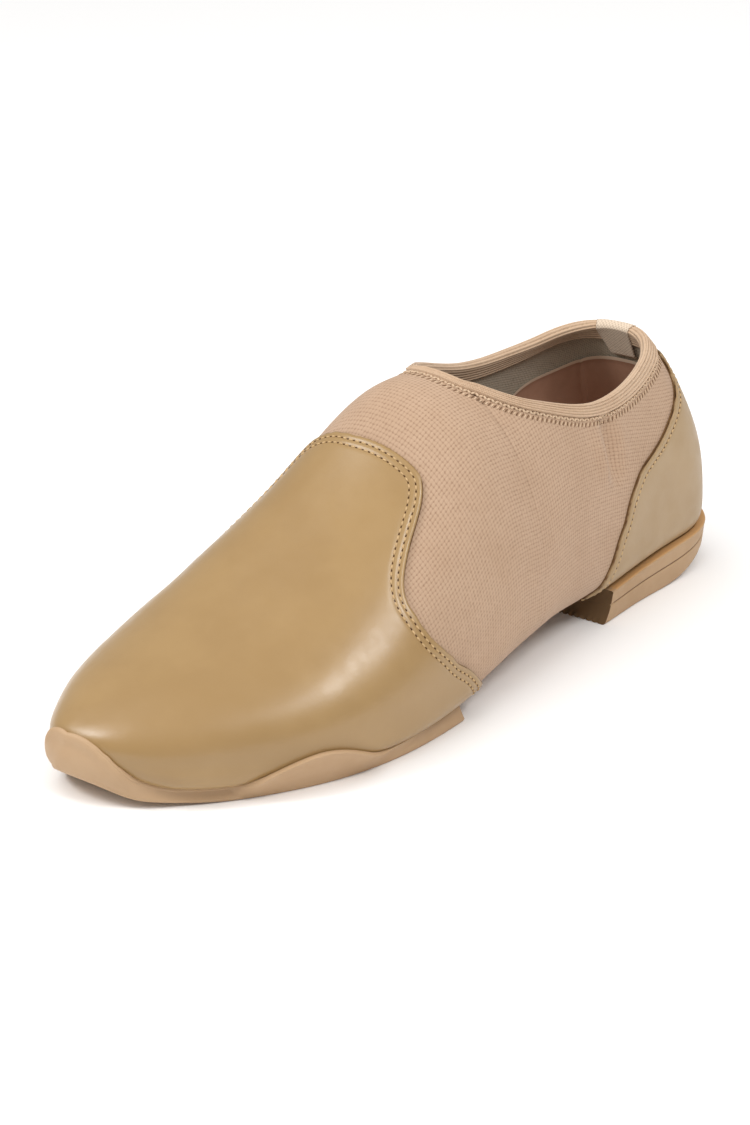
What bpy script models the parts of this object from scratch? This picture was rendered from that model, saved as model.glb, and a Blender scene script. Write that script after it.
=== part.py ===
# Color guard shoe for the left foot: a stretch fabric upper drawn over a curved last, a leather
# vamp and counter, an elastic collar binding, a split rubber sole and a thin insole.
import math
from collections import namedtuple

import bmesh
import bpy
import numpy as np

# Driving sizes in millimetres; "along" is measured from the heel back towards the toe
MM = 0.001
LAST_LENGTH = 248.0
HEEL_REACH = 27.0           # length over which the heel rounds off in plan
HEEL_POWER = 2.5
TOE_REACH = 60.0            # length over which the toe rounds off in plan
TOE_POWER = 2.4
TOE_TIP_X = -24.0           # the toe tip lies on the inner side of the heel's axis
TOE_TIP_Z = 17.5
TOE_BEND = 100.0            # length over which the centre line swings to the tip
TOE_TOP_REACH = 24.0
TOE_UNDER_REACH = 14.0
BACK_LEAN_REACH = 70.0      # the lean of the heel back fades out over this length
FADE_POWER = 1.5            # how softly that lean and the swing to the tip set in
YAW = 5.0                   # degrees, brings heel and toe tip onto one line
HALF_WAY = 125.0            # place along the last that the yaw turns about
CENTRE_X = -1.905           # shifts that bring the middle of the finished shoe to the origin
CENTRE_Y = -0.54

# Wall thicknesses, and the small gaps that touching pieces keep
FABRIC = 1.8
LEATHER = 1.0
VAMP_LIFT = 0.35            # clear space between fabric and leather
COUNTER_LIFT = 0.8
SOLE_LIFT = 2.0             # fabric to rubber, with the leather between them
SOLE_WALL = 1.5
SOLE_EDGE = 0.8             # bevel between the rubber's side and its tread
SOLE_LEAST_TURN = 46.0      # degrees, the outline of the tread and the least height of its rim
INSOLE = 2.0
INSOLE_GAP = 0.5
INSOLE_RISE = 3.0           # height of the insole's turned-up edge over the fabric's underside
BINDING = 0.8
BINDING_GAP = 0.5
BINDING_CROWN = 0.2         # the tape is this much fuller in the middle of each face
BINDING_DEPTH = 5.0
SMALL = 1e-6                # tells an end or a seam from its neighbours
WELD = 0.00001
SMOOTH_ANGLE = 50.0

# Where the pieces begin and end along the shoe
THROAT = 113.5
SOLE_REAR = 148.0
FOREFOOT_HOLE = (160.0, 228.0)  # where the fabric is left out over rubber
HEEL_HOLE = (10.0, 58.0)
BREAST_HEAD = 69.0          # front face of the heel at its top and at the floor
BREAST_FOOT = 72.5
MARGIN_TURN = 40.0          # degrees, the lasting margin turned under the foot
HEEL_PROUD = 1.6
HEEL_TAPER = 0.8
HEEL_ROLL = 7.5             # rise of the tread at the back of the heel
HEEL_ROLL_REACH = 40.0      # length over which it rises
HEEL_GROOVE = 0.6           # depth of the line round the heel's side
HEEL_GROOVE_AT = (0.54, 0.60, 0.66)
RIB_PITCH = 2.4
RIB_DEPTH = 0.8
RIB_HALF = 0.6
RIB_COUNT = 25

# Sections of the last: half widths, lowest and highest level, share of the height at which it is
# widest, squareness of its lower and upper half, and the place of its ridge
Section = namedtuple("Section", "along medial lateral floor crown belly low high ridge")
SECTIONS = (
    Section(0, 31.5, 31.5, 12.5, 82.5, 0.30, 7.0, 2.2, 0),
    Section(25, 31.5, 31.5, 12.5, 84.0, 0.30, 7.0, 2.2, 0),
    Section(50, 30.5, 32.5, 11.8, 89.0, 0.30, 6.6, 2.2, 0),
    Section(75, 30.0, 34.7, 9.5, 94.0, 0.29, 5.0, 2.1, 0),
    Section(100, 32.0, 37.5, 8.0, 93.5, 0.28, 3.4, 2.0, -1),
    Section(112, 34.0, 38.7, 7.1, 89.5, 0.28, 3.3, 2.0, -3),
    Section(125, 37.0, 39.6, 6.1, 87.9, 0.28, 3.5, 2.0, -5),
    Section(150, 43.2, 39.5, 5.0, 69.9, 0.29, 5.5, 2.0, -9),
    Section(175, 48.5, 38.5, 4.6, 52.8, 0.30, 7.5, 2.0, -14),
    Section(200, 51.4, 32.4, 4.8, 38.8, 0.31, 7.5, 2.1, -17),
    Section(225, 51.2, 22.0, 5.8, 29.8, 0.34, 6.0, 2.2, -20),
    Section(250, 46.5, 13.0, 9.0, 23.0, 0.40, 4.0, 2.2, -22),
)

# How far the heel back leans forward at each level
Lean = namedtuple("Lean", "height forward")
HEEL_BACK = (
    Lean(0, 1.3),
    Lean(15, 1.3),
    Lean(30, 1.8),
    Lean(45, 5.4),
    Lean(60, 11.4),
    Lean(70, 14.9),
    Lean(80, 18.3),
    Lean(95, 26.0),
)

# Level of the collar edge on each side
Collar = namedtuple("Collar", "along medial lateral")
COLLAR = (
    Collar(0, 78.0, 78.0),
    Collar(10, 77.0, 77.0),
    Collar(25, 74.7, 74.5),
    Collar(45, 73.6, 72.0),
    Collar(60, 74.0, 71.3),
    Collar(75, 76.2, 72.6),
    Collar(95, 82.6, 78.8),
    Collar(106, 86.4, 83.6),
    Collar(THROAT, 88.9, 88.9),
)

# Back edge of the vamp, from the lasting margin (turn in degrees from the sole) up to the ridge
VampEdge = namedtuple("VampEdge", "turn along")
VAMP_EDGE = (
    VampEdge(40, 140.5),
    VampEdge(52, 141.8),
    VampEdge(64, 143.7),
    VampEdge(76, 146.3),
    VampEdge(90, 156.8),
    VampEdge(95.3, 159.2),
    VampEdge(106.9, 164.5),
    VampEdge(116, 165.9),
    VampEdge(124, 165.6),
    VampEdge(130.7, 163.0),
    VampEdge(134.7, 158.8),
    VampEdge(138.3, 154.2),
    VampEdge(141, 150.7),
    VampEdge(144, 146.0),
    VampEdge(148, 142.9),
    VampEdge(154, 142.2),
    VampEdge(166, 142.1),
    VampEdge(180, 142.6),
)

# Front edge of the counter, as a share of the way up from the margin to its top
CounterEdge = namedtuple("CounterEdge", "rise along")
COUNTER_TOP = 69.5
COUNTER_EDGE = (
    CounterEdge(0.000, 80.7),
    CounterEdge(0.083, 77.6),
    CounterEdge(0.167, 76.2),
    CounterEdge(0.250, 75.5),
    CounterEdge(0.333, 74.7),
    CounterEdge(0.417, 73.1),
    CounterEdge(0.500, 70.8),
    CounterEdge(0.583, 62.9),
    CounterEdge(0.667, 55.7),
    CounterEdge(0.750, 36.9),
    CounterEdge(0.833, 24.9),
    CounterEdge(0.917, 15.2),
    CounterEdge(1.000, 9.8),
)

# Wavy top edge of the forefoot sole, as a level on each side
Wave = namedtuple("Wave", "along medial lateral")
WAVE = (
    Wave(148, 6.0, 6.0),
    Wave(165, 6.5, 6.2),
    Wave(180, 8.0, 6.6),
    Wave(190, 11.0, 8.8),
    Wave(198, 13.4, 11.8),
    Wave(205, 14.2, 13.0),
    Wave(211, 13.5, 11.6),
    Wave(217, 11.4, 8.6),
    Wave(224, 8.4, 7.0),
    Wave(232, 6.6, 7.0),
    Wave(236, 7.0, 7.4),
    Wave(240.5, 9.6, 10.2),
    Wave(244.5, 14.0, 15.0),
    Wave(LAST_LENGTH, 17.5, 17.5),
)

# Level of the tread under the forefoot, with the toe spring
Tread = namedtuple("Tread", "along level")
TREAD = (
    Tread(148, 0.0),
    Tread(182, 0.0),
    Tread(216, 0.0),
    Tread(228, 0.3),
    Tread(238, 1.7),
    Tread(244, 3.7),
    Tread(LAST_LENGTH, 6.9),
)

# Top edge of the heel block
HeelTop = namedtuple("HeelTop", "along level")
HEEL_TOP = (
    HeelTop(0, 16.2),
    HeelTop(25, 15.8),
    HeelTop(50, 14.4),
    HeelTop(75, 13.0),
)

COLOURS = {
    "upper": (0.58, 0.39, 0.27, 0.9),
    "vamp": (0.48, 0.31, 0.15, 0.45),
    "counter": (0.45, 0.32, 0.18, 0.5),
    "collar_binding": (0.62, 0.44, 0.32, 0.85),
    "forefoot_sole": (0.55, 0.36, 0.21, 0.6),
    "heel": (0.56, 0.37, 0.22, 0.6),
    "insole": (0.23, 0.14, 0.10, 0.8),
}


# Smooth curve through the given values, as a function of place
def spline(places, values):
    x = np.array(places, float)
    y = np.array(values, float)
    step = np.diff(x)
    count = len(x)
    system = np.eye(count)
    pull = np.zeros(count)
    for i in range(1, count - 1):
        system[i, i - 1:i + 2] = step[i - 1], 2 * (step[i - 1] + step[i]), step[i]
        pull[i] = 6 * ((y[i + 1] - y[i]) / step[i] - (y[i] - y[i - 1]) / step[i - 1])
    bend = np.linalg.solve(system, pull)

    def value(place):
        p = np.clip(np.asarray(place, float), x[0], x[-1])
        i = np.clip(np.searchsorted(x, p) - 1, 0, count - 2)
        b = (p - x[i]) / step[i]
        a = 1 - b
        curve = (a ** 3 - a) * bend[i] + (b ** 3 - b) * bend[i + 1]
        return a * y[i] + b * y[i + 1] + curve * step[i] ** 2 / 6

    return value


# A smooth curve for each further column of a table, over its first column
def columns(rows):
    names = rows[0]._fields
    places = [row[0] for row in rows]
    return {name: spline(places, [getattr(row, name) for row in rows]) for name in names[1:]}


LAST = columns(SECTIONS)
BACK = columns(HEEL_BACK)["forward"]
COLLAR_LEVEL = columns(COLLAR)
VAMP_BACK = columns(VAMP_EDGE)["along"]
COUNTER_FRONT = columns(COUNTER_EDGE)["along"]
WAVE_LEVEL = columns(WAVE)
TREAD_LEVEL = columns(TREAD)["level"]
HEEL_LEVEL = columns(HEEL_TOP)["level"]


def by_side(table, along, side):
    return np.where(side > 0, table["lateral"](along), table["medial"](along))


# Share of the full width left at a given depth from a rounded end
def rounding(depth, reach, power):
    inside = np.clip(depth, 0, reach)
    return np.maximum(1 - ((reach - inside) / reach) ** power, 0) ** (1 / power)


# Depths that divide a rounded end into even steps
def rounded_stations(reach, power, count):
    angles = np.linspace(0, math.pi / 2, count + 1)
    return reach * (1 - np.maximum(np.cos(angles), 0) ** (2 / power))


# Lowest, widest and highest level of the section at a place along the last
def levels(along):
    to_tip = LAST_LENGTH - along
    top = TOE_TIP_Z + (LAST["crown"](along) - TOE_TIP_Z) * rounding(to_tip, TOE_TOP_REACH, 2)
    bottom = TOE_TIP_Z + (LAST["floor"](along) - TOE_TIP_Z) * rounding(to_tip, TOE_UNDER_REACH, 2)
    return bottom, bottom + LAST["belly"](along) * (top - bottom), top


# Point of the last: turn runs from 0 under the foot to pi on the ridge, side is 1 or -1
def last_point(along, turn, side):
    along, turn, side = np.broadcast_arrays(np.asarray(along, float), turn, side)
    to_tip = LAST_LENGTH - along
    ends = rounding(to_tip, TOE_REACH, TOE_POWER) * rounding(along, HEEL_REACH, HEEL_POWER)
    middle = TOE_TIP_X * np.clip(1 - to_tip / TOE_BEND, 0, 1) ** FADE_POWER
    edge = middle + (side * by_side(LAST, along, side) - middle) * ends
    bottom, widest, top = levels(along)
    under = turn <= math.pi / 2
    power = 2 / np.where(under, LAST["low"](along), LAST["high"](along))
    out = np.abs(np.sin(turn)) ** power
    up = np.abs(np.cos(turn)) ** power
    ridge = middle + (LAST["ridge"](along) - middle) * ends
    centre = np.where(under, middle, ridge)
    x = centre + (edge - centre) * out
    z = np.where(under, widest - (widest - bottom) * up, widest + (top - widest) * up)
    lean = BACK(z) * np.clip(1 - along / BACK_LEAN_REACH, 0, 1) ** FADE_POWER
    return np.stack([x, along + lean, z], -1)


# Turn at which the section reaches a level
def turn_at(along, level):
    bottom, widest, top = levels(along)
    above = level >= widest
    power = np.where(above, LAST["high"](along), LAST["low"](along)) / 2
    reach = np.maximum(np.where(above, top - widest, widest - bottom), SMALL)
    share = np.abs(level - widest) / reach
    angle = np.arccos(np.clip(share, 0, 1) ** power)
    return np.where(above, math.pi - angle, angle)


# Directions of the surface forwards and upwards, measured just inside its ends
def slopes(along, turn, side):
    step = 0.002
    end = 0.02
    seam = 0.01
    a = np.clip(along, end, LAST_LENGTH - end)
    t = np.clip(turn, seam, math.pi - seam)
    forward = last_point(a + step, t, side) - last_point(a - step, t, side)
    upward = last_point(a, t + step, side) - last_point(a, t - step, side)
    return forward / (2 * step), upward / (2 * step)


def unit(vectors):
    return vectors / np.maximum(np.linalg.norm(vectors, axis=-1, keepdims=True), SMALL ** 2)


# Outward direction of the last; both sides share it where they meet
def outward(along, turn, side):
    def one_side(which):
        forward, upward = slopes(along, turn, which)
        return unit(np.cross(forward, upward) * which[..., None])

    along, turn, side = np.broadcast_arrays(np.asarray(along, float), turn, np.asarray(side, float))
    normal = one_side(side)
    seam = (turn < SMALL) | (turn > math.pi - SMALL) | (along < SMALL)
    normal = np.where(seam[..., None], unit(normal + one_side(-side)), normal)
    tip = along > LAST_LENGTH - SMALL
    return np.where(tip[..., None], np.array([0.0, 1.0, 0.0]), normal)


def lifted(along, turn, side, lift):
    lift = np.asarray(lift, float)
    return last_point(along, turn, side) + outward(along, turn, side) * lift[..., None]


# Turn of the upper's top edge: the collar behind the throat, the ridge in front of it
def top_turn(along, side):
    collar = turn_at(along, np.minimum(by_side(COLLAR_LEVEL, along, side), levels(along)[2]))
    return np.where(along < THROAT, collar, math.pi)


# From the last's frame to the shoe's own: toe towards -Y, outer side towards +X, in metres
def placed(points):
    yaw = math.radians(YAW)
    x = points[..., 0]
    y = HALF_WAY - points[..., 1]
    turned_x = x * math.cos(yaw) - y * math.sin(yaw) - CENTRE_X
    turned_y = x * math.sin(yaw) + y * math.cos(yaw) - CENTRE_Y
    return np.stack([turned_x, turned_y, points[..., 2]], -1) * MM


def add_points(mesh, grid):
    return [[mesh.verts.new(point) for point in row] for row in placed(grid)]


# Quads over a grid of points, where kept says so; the outer side and the inner one wind oppositely
def add_quads(mesh, points, flip, kept=None):
    for i in range(len(points) - 1):
        for j in range(len(points[0]) - 1):
            if kept is not None and not kept[i][j]:
                continue
            corners = [points[i][j], points[i + 1][j], points[i + 1][j + 1], points[i][j + 1]]
            mesh.faces.new(corners[::-1] if flip else corners)


def material(name):
    red, green, blue, roughness = COLOURS[name]
    finish = bpy.data.materials.new(name)
    finish.use_nodes = True
    shader = finish.node_tree.nodes["Principled BSDF"]
    shader.inputs["Base Color"].default_value = (red, green, blue, 1)
    shader.inputs["Roughness"].default_value = roughness
    shader.inputs["Metallic"].default_value = 0
    finish.diffuse_color = (red, green, blue, 1)
    return finish


def add_object(name, mesh):
    data = bpy.data.meshes.new(name)
    bmesh.ops.remove_doubles(mesh, verts=mesh.verts, dist=WELD)
    mesh.to_mesh(data)
    mesh.free()
    data.shade_smooth()
    data.set_sharp_from_angle(angle=math.radians(SMOOTH_ANGLE))
    data.materials.append(material(name))
    item = bpy.data.objects.new(name, data)
    bpy.context.collection.objects.link(item)
    return item


# Sheet of the given thickness over both sides of the last, grown outwards or inwards from it
def add_sheet(name, grid, lift, thickness, outwards, kept=None):
    mesh = bmesh.new()
    for side in (1, -1):
        along, turn = grid(side)
        points = add_points(mesh, lifted(along, turn, side, np.full(along.shape, lift)))
        add_quads(mesh, points, side > 0, kept)
    item = add_object(name, mesh)
    wall = item.modifiers.new("wall", "SOLIDIFY")
    wall.thickness = thickness * MM
    wall.offset = 1 if outwards else -1
    wall.use_even_offset = True
    return item


# Closed body between two grids of the same shape on each side, with a face at one end
def add_body(name, grids, rear_face, front_face):
    mesh = bmesh.new()
    for side in (1, -1):
        outer, inner = [add_points(mesh, grid) for grid in grids(side)]
        add_quads(mesh, outer, side > 0)
        add_quads(mesh, inner, side < 0)
        edge = [[outer_row[-1], inner_row[-1]] for outer_row, inner_row in zip(outer, inner)]
        add_quads(mesh, edge, side > 0)
        if rear_face:
            add_quads(mesh, [inner[0], outer[0]], side > 0)
        if front_face:
            add_quads(mesh, [outer[-1], inner[-1]], side > 0)
    return add_object(name, mesh)


# Places along the last, and turns round it, at which the pieces have their points
HEEL_STATIONS = rounded_stations(HEEL_REACH, HEEL_POWER, 7)
TOE_STATIONS = LAST_LENGTH - rounded_stations(TOE_REACH, TOE_POWER, 11)[::-1]
COLLAR_STATIONS = np.concatenate([np.arange(36, 91, 9), THROAT - np.array([17.5, 11.5, 7, 4, 1.8, 0.5, 0])])
INSTEP_STATIONS = np.arange(120, 181, 10)
UNDER_TURNS = np.radians([0, 22, MARGIN_TURN, 52, 64, 76, 90])
MARGIN_COLUMN = 2
UPPER_SHARES = np.linspace(0, 1, 10)[1:]
FRONT_TURNS = np.radians(90) * (1 + UPPER_SHARES)


# Stretch fabric body, open at the collar and under forefoot and heel
def make_upper():
    stations = np.concatenate([HEEL_STATIONS, COLLAR_STATIONS, INSTEP_STATIONS, TOE_STATIONS])
    columns_under = len(UNDER_TURNS)

    def grid(side):
        top = top_turn(stations, side)[:, None]
        under = np.broadcast_to(UNDER_TURNS, (len(stations), columns_under))
        over = math.pi / 2 + UPPER_SHARES * (top - math.pi / 2)
        turn = np.concatenate([under, over], axis=1)
        return np.broadcast_to(stations[:, None], turn.shape), turn

    def over_rubber(i):
        ends = stations[i:i + 2]
        return any(start <= ends[0] and ends[1] <= end for start, end in (FOREFOOT_HOLE, HEEL_HOLE))

    across = columns_under + len(UPPER_SHARES) - 1
    spans = range(len(stations) - 1)
    kept = [[j >= MARGIN_COLUMN or not over_rubber(i) for j in range(across)] for i in spans]
    return add_sheet("upper", grid, 0, FABRIC, False, kept)


# Leather toe piece over the fabric
def make_vamp():
    turns = np.concatenate([UNDER_TURNS[MARGIN_COLUMN:], FRONT_TURNS])
    back = VAMP_BACK(np.degrees(turns))
    shares = np.linspace(0, 1, 6)[:, None]

    def grid(side):
        rear = back + (TOE_STATIONS[0] - back) * shares
        toe = np.broadcast_to(TOE_STATIONS[1:, None], (len(TOE_STATIONS) - 1, len(turns)))
        along = np.concatenate([rear, toe])
        return along, np.broadcast_to(turns, along.shape)

    return add_sheet("vamp", grid, VAMP_LIFT, LEATHER, True)


# Leather heel piece over the fabric
def make_counter():
    rises = np.linspace(0, 1, 13)
    front = COUNTER_FRONT(rises)
    round_end = np.minimum(front, HEEL_REACH)
    foot = math.radians(MARGIN_TURN)

    def grid(side):
        back = HEEL_STATIONS[:, None] / HEEL_REACH * round_end
        sides = round_end + (front - round_end) * np.linspace(0, 1, 5)[1:, None]
        along = np.concatenate([back, sides])
        turn = foot + rises * (turn_at(along, COUNTER_TOP) - foot)
        return along, turn

    return add_sheet("counter", grid, COUNTER_LIFT, LEATHER, True)


# Elastic tape folded over the collar edge
def make_binding():
    stations = np.concatenate([HEEL_STATIONS, COLLAR_STATIONS])
    edge = np.concatenate([stations, stations[-2:0:-1]])
    side = np.concatenate([np.full(len(stations), 1), np.full(len(stations) - 2, -1)])
    turn = top_turn(edge, side)
    point = last_point(edge, turn, side)
    run = unit(np.roll(point, -1, 0) - np.roll(point, 1, 0))
    normal = outward(edge, turn, side)
    down = unit(np.cross(run, normal))
    forward, upward = slopes(edge, turn, side)

    # the same point moved down the fabric's own surface by a depth
    def lowered(depth):
        moved_along = np.zeros(len(edge))
        moved_turn = np.zeros(len(edge))
        for i in range(len(edge)):
            base = np.stack([forward[i], upward[i]], 1)
            moved_along[i], moved_turn[i] = np.linalg.lstsq(base, down[i] * depth, rcond=None)[0]
        along = np.abs(edge + moved_along)
        return last_point(along, turn + moved_turn, side), outward(along, turn + moved_turn, side)

    low_point, low_normal = lowered(BINDING_DEPTH)
    half_point, half_normal = lowered(BINDING_DEPTH / 2)
    inside = -FABRIC - BINDING_GAP
    crest = BINDING + BINDING_GAP
    rings = [
        low_point + low_normal * BINDING_GAP,
        low_point + low_normal * crest,
        half_point + half_normal * (crest + BINDING_CROWN),
        point + normal * crest,
        point + normal * (-FABRIC / 2) - down * crest,
        point + normal * (inside - BINDING),
        half_point + half_normal * (inside - BINDING - BINDING_CROWN),
        low_point + low_normal * (inside - BINDING),
        low_point + low_normal * inside,
        half_point + half_normal * inside,
        point + normal * inside - down * BINDING_GAP,
        point + normal * BINDING_GAP - down * BINDING_GAP,
        half_point + half_normal * BINDING_GAP,
    ]
    mesh = bmesh.new()
    loops = add_points(mesh, np.stack(rings + rings[:1], 1))
    loops.append(loops[0])
    add_quads(mesh, loops, True)
    return add_object("collar_binding", mesh)


# Rubber cup under the forefoot: its side rises to the wave, its tread is flat under the ball
def make_forefoot_sole():
    rear = np.linspace(SOLE_REAR, TOE_STATIONS[0], 8)[:-1]
    toe = LAST_LENGTH - rounded_stations(TOE_REACH, TOE_POWER, 17)[::-1]
    stations = np.concatenate([rear, toe])[:, None]
    tread = np.maximum(TREAD_LEVEL(stations[:, 0]), 0)

    def inner_turns(side):
        edge = turn_at(stations, by_side(WAVE_LEVEL, stations, side))
        return np.minimum(UNDER_TURNS, np.maximum(edge, math.radians(SOLE_LEAST_TURN)))

    def side_edges(side):
        edge = inner_turns(side)[:, -1]
        lift = np.full(edge.shape, SOLE_LIFT + SOLE_WALL)
        outline = np.full(edge.shape, math.radians(SOLE_LEAST_TURN))
        rim = lifted(stations[:, 0], edge, side, lift)
        foot = lifted(stations[:, 0], outline, side, lift)
        level = unit(outward(stations[:, 0], outline, side) * np.array([1, 1, 0]))
        foot[:, 2] = tread
        return rim, foot, level

    def grids(side):
        turn = inner_turns(side)
        along = np.broadcast_to(stations, turn.shape)
        rim, foot, level = side_edges(side)
        centre = (foot + side_edges(-side)[1]) / 2
        corner = foot - level * SOLE_EDGE
        raised = foot + np.array([0, 0, SOLE_EDGE])
        third = (rim - raised) / 3
        outer = [centre, (centre + corner) / 2, corner, raised, raised + third, rim - third, rim]
        return np.stack(outer, 1), lifted(along, turn, side, np.full(turn.shape, SOLE_LIFT))

    return add_body("forefoot_sole", grids, True, False)


# Bars whose pointed tops cut the ribs into the heel's tread
def rib_cutter():
    mesh = bmesh.new()
    below = -RIB_DEPTH / 2
    reach = (-HEEL_REACH, BREAST_FOOT + HEEL_REACH)
    for k in range(RIB_COUNT):
        x = (k - (RIB_COUNT - 1) / 2) * RIB_PITCH
        left = x - RIB_HALF
        right = x + RIB_HALF
        profile = [(left, below), (right, below), (right, 0), (x, RIB_DEPTH), (left, 0)]
        ends = []
        for along in reach:
            corners = np.array([(px, along, pz) for px, pz in profile])
            ends.append([mesh.verts.new(point) for point in placed(corners)])
        add_quads(mesh, [end + end[:1] for end in ends], False)
        mesh.faces.new(ends[0][::-1])
        mesh.faces.new(ends[1])
    bmesh.ops.recalc_face_normals(mesh, faces=mesh.faces)
    data = bpy.data.meshes.new("rib_cutter")
    mesh.to_mesh(data)
    mesh.free()
    cutter = bpy.data.objects.new("rib_cutter", data)
    cutter.hide_render = True
    cutter.display_type = "WIRE"
    bpy.context.collection.objects.link(cutter)
    return cutter


# Rubber heel block: a shallow cup on top, a groove round its side, ribs on its tread
def make_heel():
    sides = np.linspace(HEEL_STATIONS[-1], BREAST_HEAD, 7)[1:]
    stations = np.concatenate([HEEL_STATIONS, sides])[:, None]
    shares = np.array([0, 0.3, 0.55, 0.75, 0.88, 0.95, 1.0])

    def side_edges(side):
        turn = turn_at(stations, HEEL_LEVEL(stations))
        top = lifted(stations, turn, side, np.full(turn.shape, SOLE_LIFT + HEEL_PROUD))[:, 0]
        level = unit(outward(stations, turn, side)[:, 0] * np.array([1, 1, 0]))
        foot = top - level * HEEL_TAPER
        foot[:, 1] = foot[:, 1] * BREAST_FOOT / BREAST_HEAD
        foot[:, 2] = HEEL_ROLL * np.clip(1 - (foot[:, 1] / HEEL_ROLL_REACH) ** 2, 0, 1) ** 3
        return turn, top, foot, level

    def grids(side):
        turn, top, foot, level = side_edges(side)
        centre = (foot + side_edges(-side)[2]) / 2
        outer = [centre, (centre + foot) / 2, foot]
        for share, inset in zip(HEEL_GROOVE_AT, (0, HEEL_GROOVE, 0)):
            outer.append(foot + (top - foot) * share - level * inset)
        outer.append(top)
        turns = turn * shares
        along = np.broadcast_to(stations, turns.shape)
        return np.stack(outer, 1), lifted(along, turns, side, np.full(turns.shape, SOLE_LIFT))

    block = add_body("heel", grids, False, True)
    cut = block.modifiers.new("ribs", "BOOLEAN")
    cut.operation = "DIFFERENCE"
    cut.solver = "EXACT"
    cut.object = rib_cutter()
    return block


# Thin sheet on the floor of the upper, its edge turned up a little
def make_insole():
    heel_end = rounded_stations(HEEL_REACH, HEEL_POWER, 6)[2:]
    toe_end = LAST_LENGTH - rounded_stations(TOE_REACH, TOE_POWER, 8)[:0:-1]
    stations = np.concatenate([heel_end, np.arange(40, 176, 15), toe_end])[:, None]
    shares = np.array([0, 0.5, 0.82, 1.0])

    def grid(side):
        turn = turn_at(stations, levels(stations)[0] + INSOLE_RISE) * shares
        return np.broadcast_to(stations, turn.shape), turn

    return add_sheet("insole", grid, -FABRIC - INSOLE_GAP, INSOLE, False)


def main():
    for item in list(bpy.data.objects):
        bpy.data.objects.remove(item, do_unlink=True)
    make_upper()
    make_vamp()
    make_counter()
    make_binding()
    make_forefoot_sole()
    make_heel()
    make_insole()


main()
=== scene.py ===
import math

import bmesh
import bpy
import numpy as np
from mathutils import Matrix, Vector
from mathutils.kdtree import KDTree


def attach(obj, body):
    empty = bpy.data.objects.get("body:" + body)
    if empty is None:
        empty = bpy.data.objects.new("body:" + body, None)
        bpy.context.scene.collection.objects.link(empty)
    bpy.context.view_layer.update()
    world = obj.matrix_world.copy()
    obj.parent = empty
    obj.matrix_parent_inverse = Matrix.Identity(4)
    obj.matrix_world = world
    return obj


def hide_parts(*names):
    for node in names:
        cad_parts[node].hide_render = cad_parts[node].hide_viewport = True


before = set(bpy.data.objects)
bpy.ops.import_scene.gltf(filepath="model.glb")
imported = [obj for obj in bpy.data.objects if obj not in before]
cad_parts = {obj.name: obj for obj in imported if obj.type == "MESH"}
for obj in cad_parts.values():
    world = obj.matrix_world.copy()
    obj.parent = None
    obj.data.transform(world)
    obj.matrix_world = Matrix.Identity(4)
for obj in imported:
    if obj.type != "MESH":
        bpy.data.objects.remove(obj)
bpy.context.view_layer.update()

print("frame loaded:", ", ".join(sorted(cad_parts)))

# the last: millimetres, "along" from heel back to toe tip, "turn" from 0 under the foot to pi on the ridge
shoeLast = {
    "length": 248, "heelReach": 27, "heelPower": 2.5, "toeReach": 60, "toePower": 2.4,
    "tipX": -24, "tipZ": 17.5, "bend": 100, "topReach": 24, "underReach": 14,
    "leanReach": 70, "fade": 1.5, "yaw": 5, "halfWay": 125, "centre": (-1.905, -0.54),
}
sections = {
    "along": (0, 25, 50, 75, 100, 112, 125, 150, 175, 200, 225, 250),
    "medial": (31.5, 31.5, 30.5, 30, 32, 34, 37, 43.2, 48.5, 51.4, 51.2, 46.5),
    "lateral": (31.5, 31.5, 32.5, 34.7, 37.5, 38.7, 39.6, 39.5, 38.5, 32.4, 22, 13),
    "floor": (12.5, 12.5, 11.8, 9.5, 8, 7.1, 6.1, 5, 4.6, 4.8, 5.8, 9),
    "crown": (82.5, 84, 89, 94, 93.5, 89.5, 87.9, 69.9, 52.8, 38.8, 29.8, 23),
    "belly": (0.30, 0.30, 0.30, 0.29, 0.28, 0.28, 0.28, 0.29, 0.30, 0.31, 0.34, 0.40),
    "low": (7, 7, 6.6, 5, 3.4, 3.3, 3.5, 5.5, 7.5, 7.5, 6, 4),
    "high": (2.2, 2.2, 2.2, 2.1, 2, 2, 2, 2, 2, 2.1, 2.2, 2.2),
    "ridge": (0, 0, 0, 0, -1, -3, -5, -9, -14, -17, -20, -22),
}
heelLean = {
    "height": (0, 15, 30, 45, 60, 70, 80, 95),
    "forward": (1.3, 1.3, 1.8, 5.4, 11.4, 14.9, 18.3, 26),
}
collarLine = {
    "along": (0, 10, 25, 45, 60, 75, 95, 106, 113.5),
    "medial": (78, 77, 74.7, 73.6, 74, 76.2, 82.6, 86.4, 88.9),
    "lateral": (78, 77, 74.5, 72, 71.3, 72.6, 78.8, 83.6, 88.9),
    "throat": 113.5, "throatRound": 3.0,
}
fineSteps = {  # points on the fine curves that the meshes are read from
    "plan": 600, "section": 180, "wall": 90, "edge": 500, "rise": 400, "front": 300, "back": 60, "reach": 240,
    "collar": 300, "throat": 40, "cup": 40,
}
mm = 0.001
tiny = 1e-6
weld = 0.00002  # metres
flatWay, upWay = np.array([1, 1, 0]), np.array([0.0, 0.0, 1.0])


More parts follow.
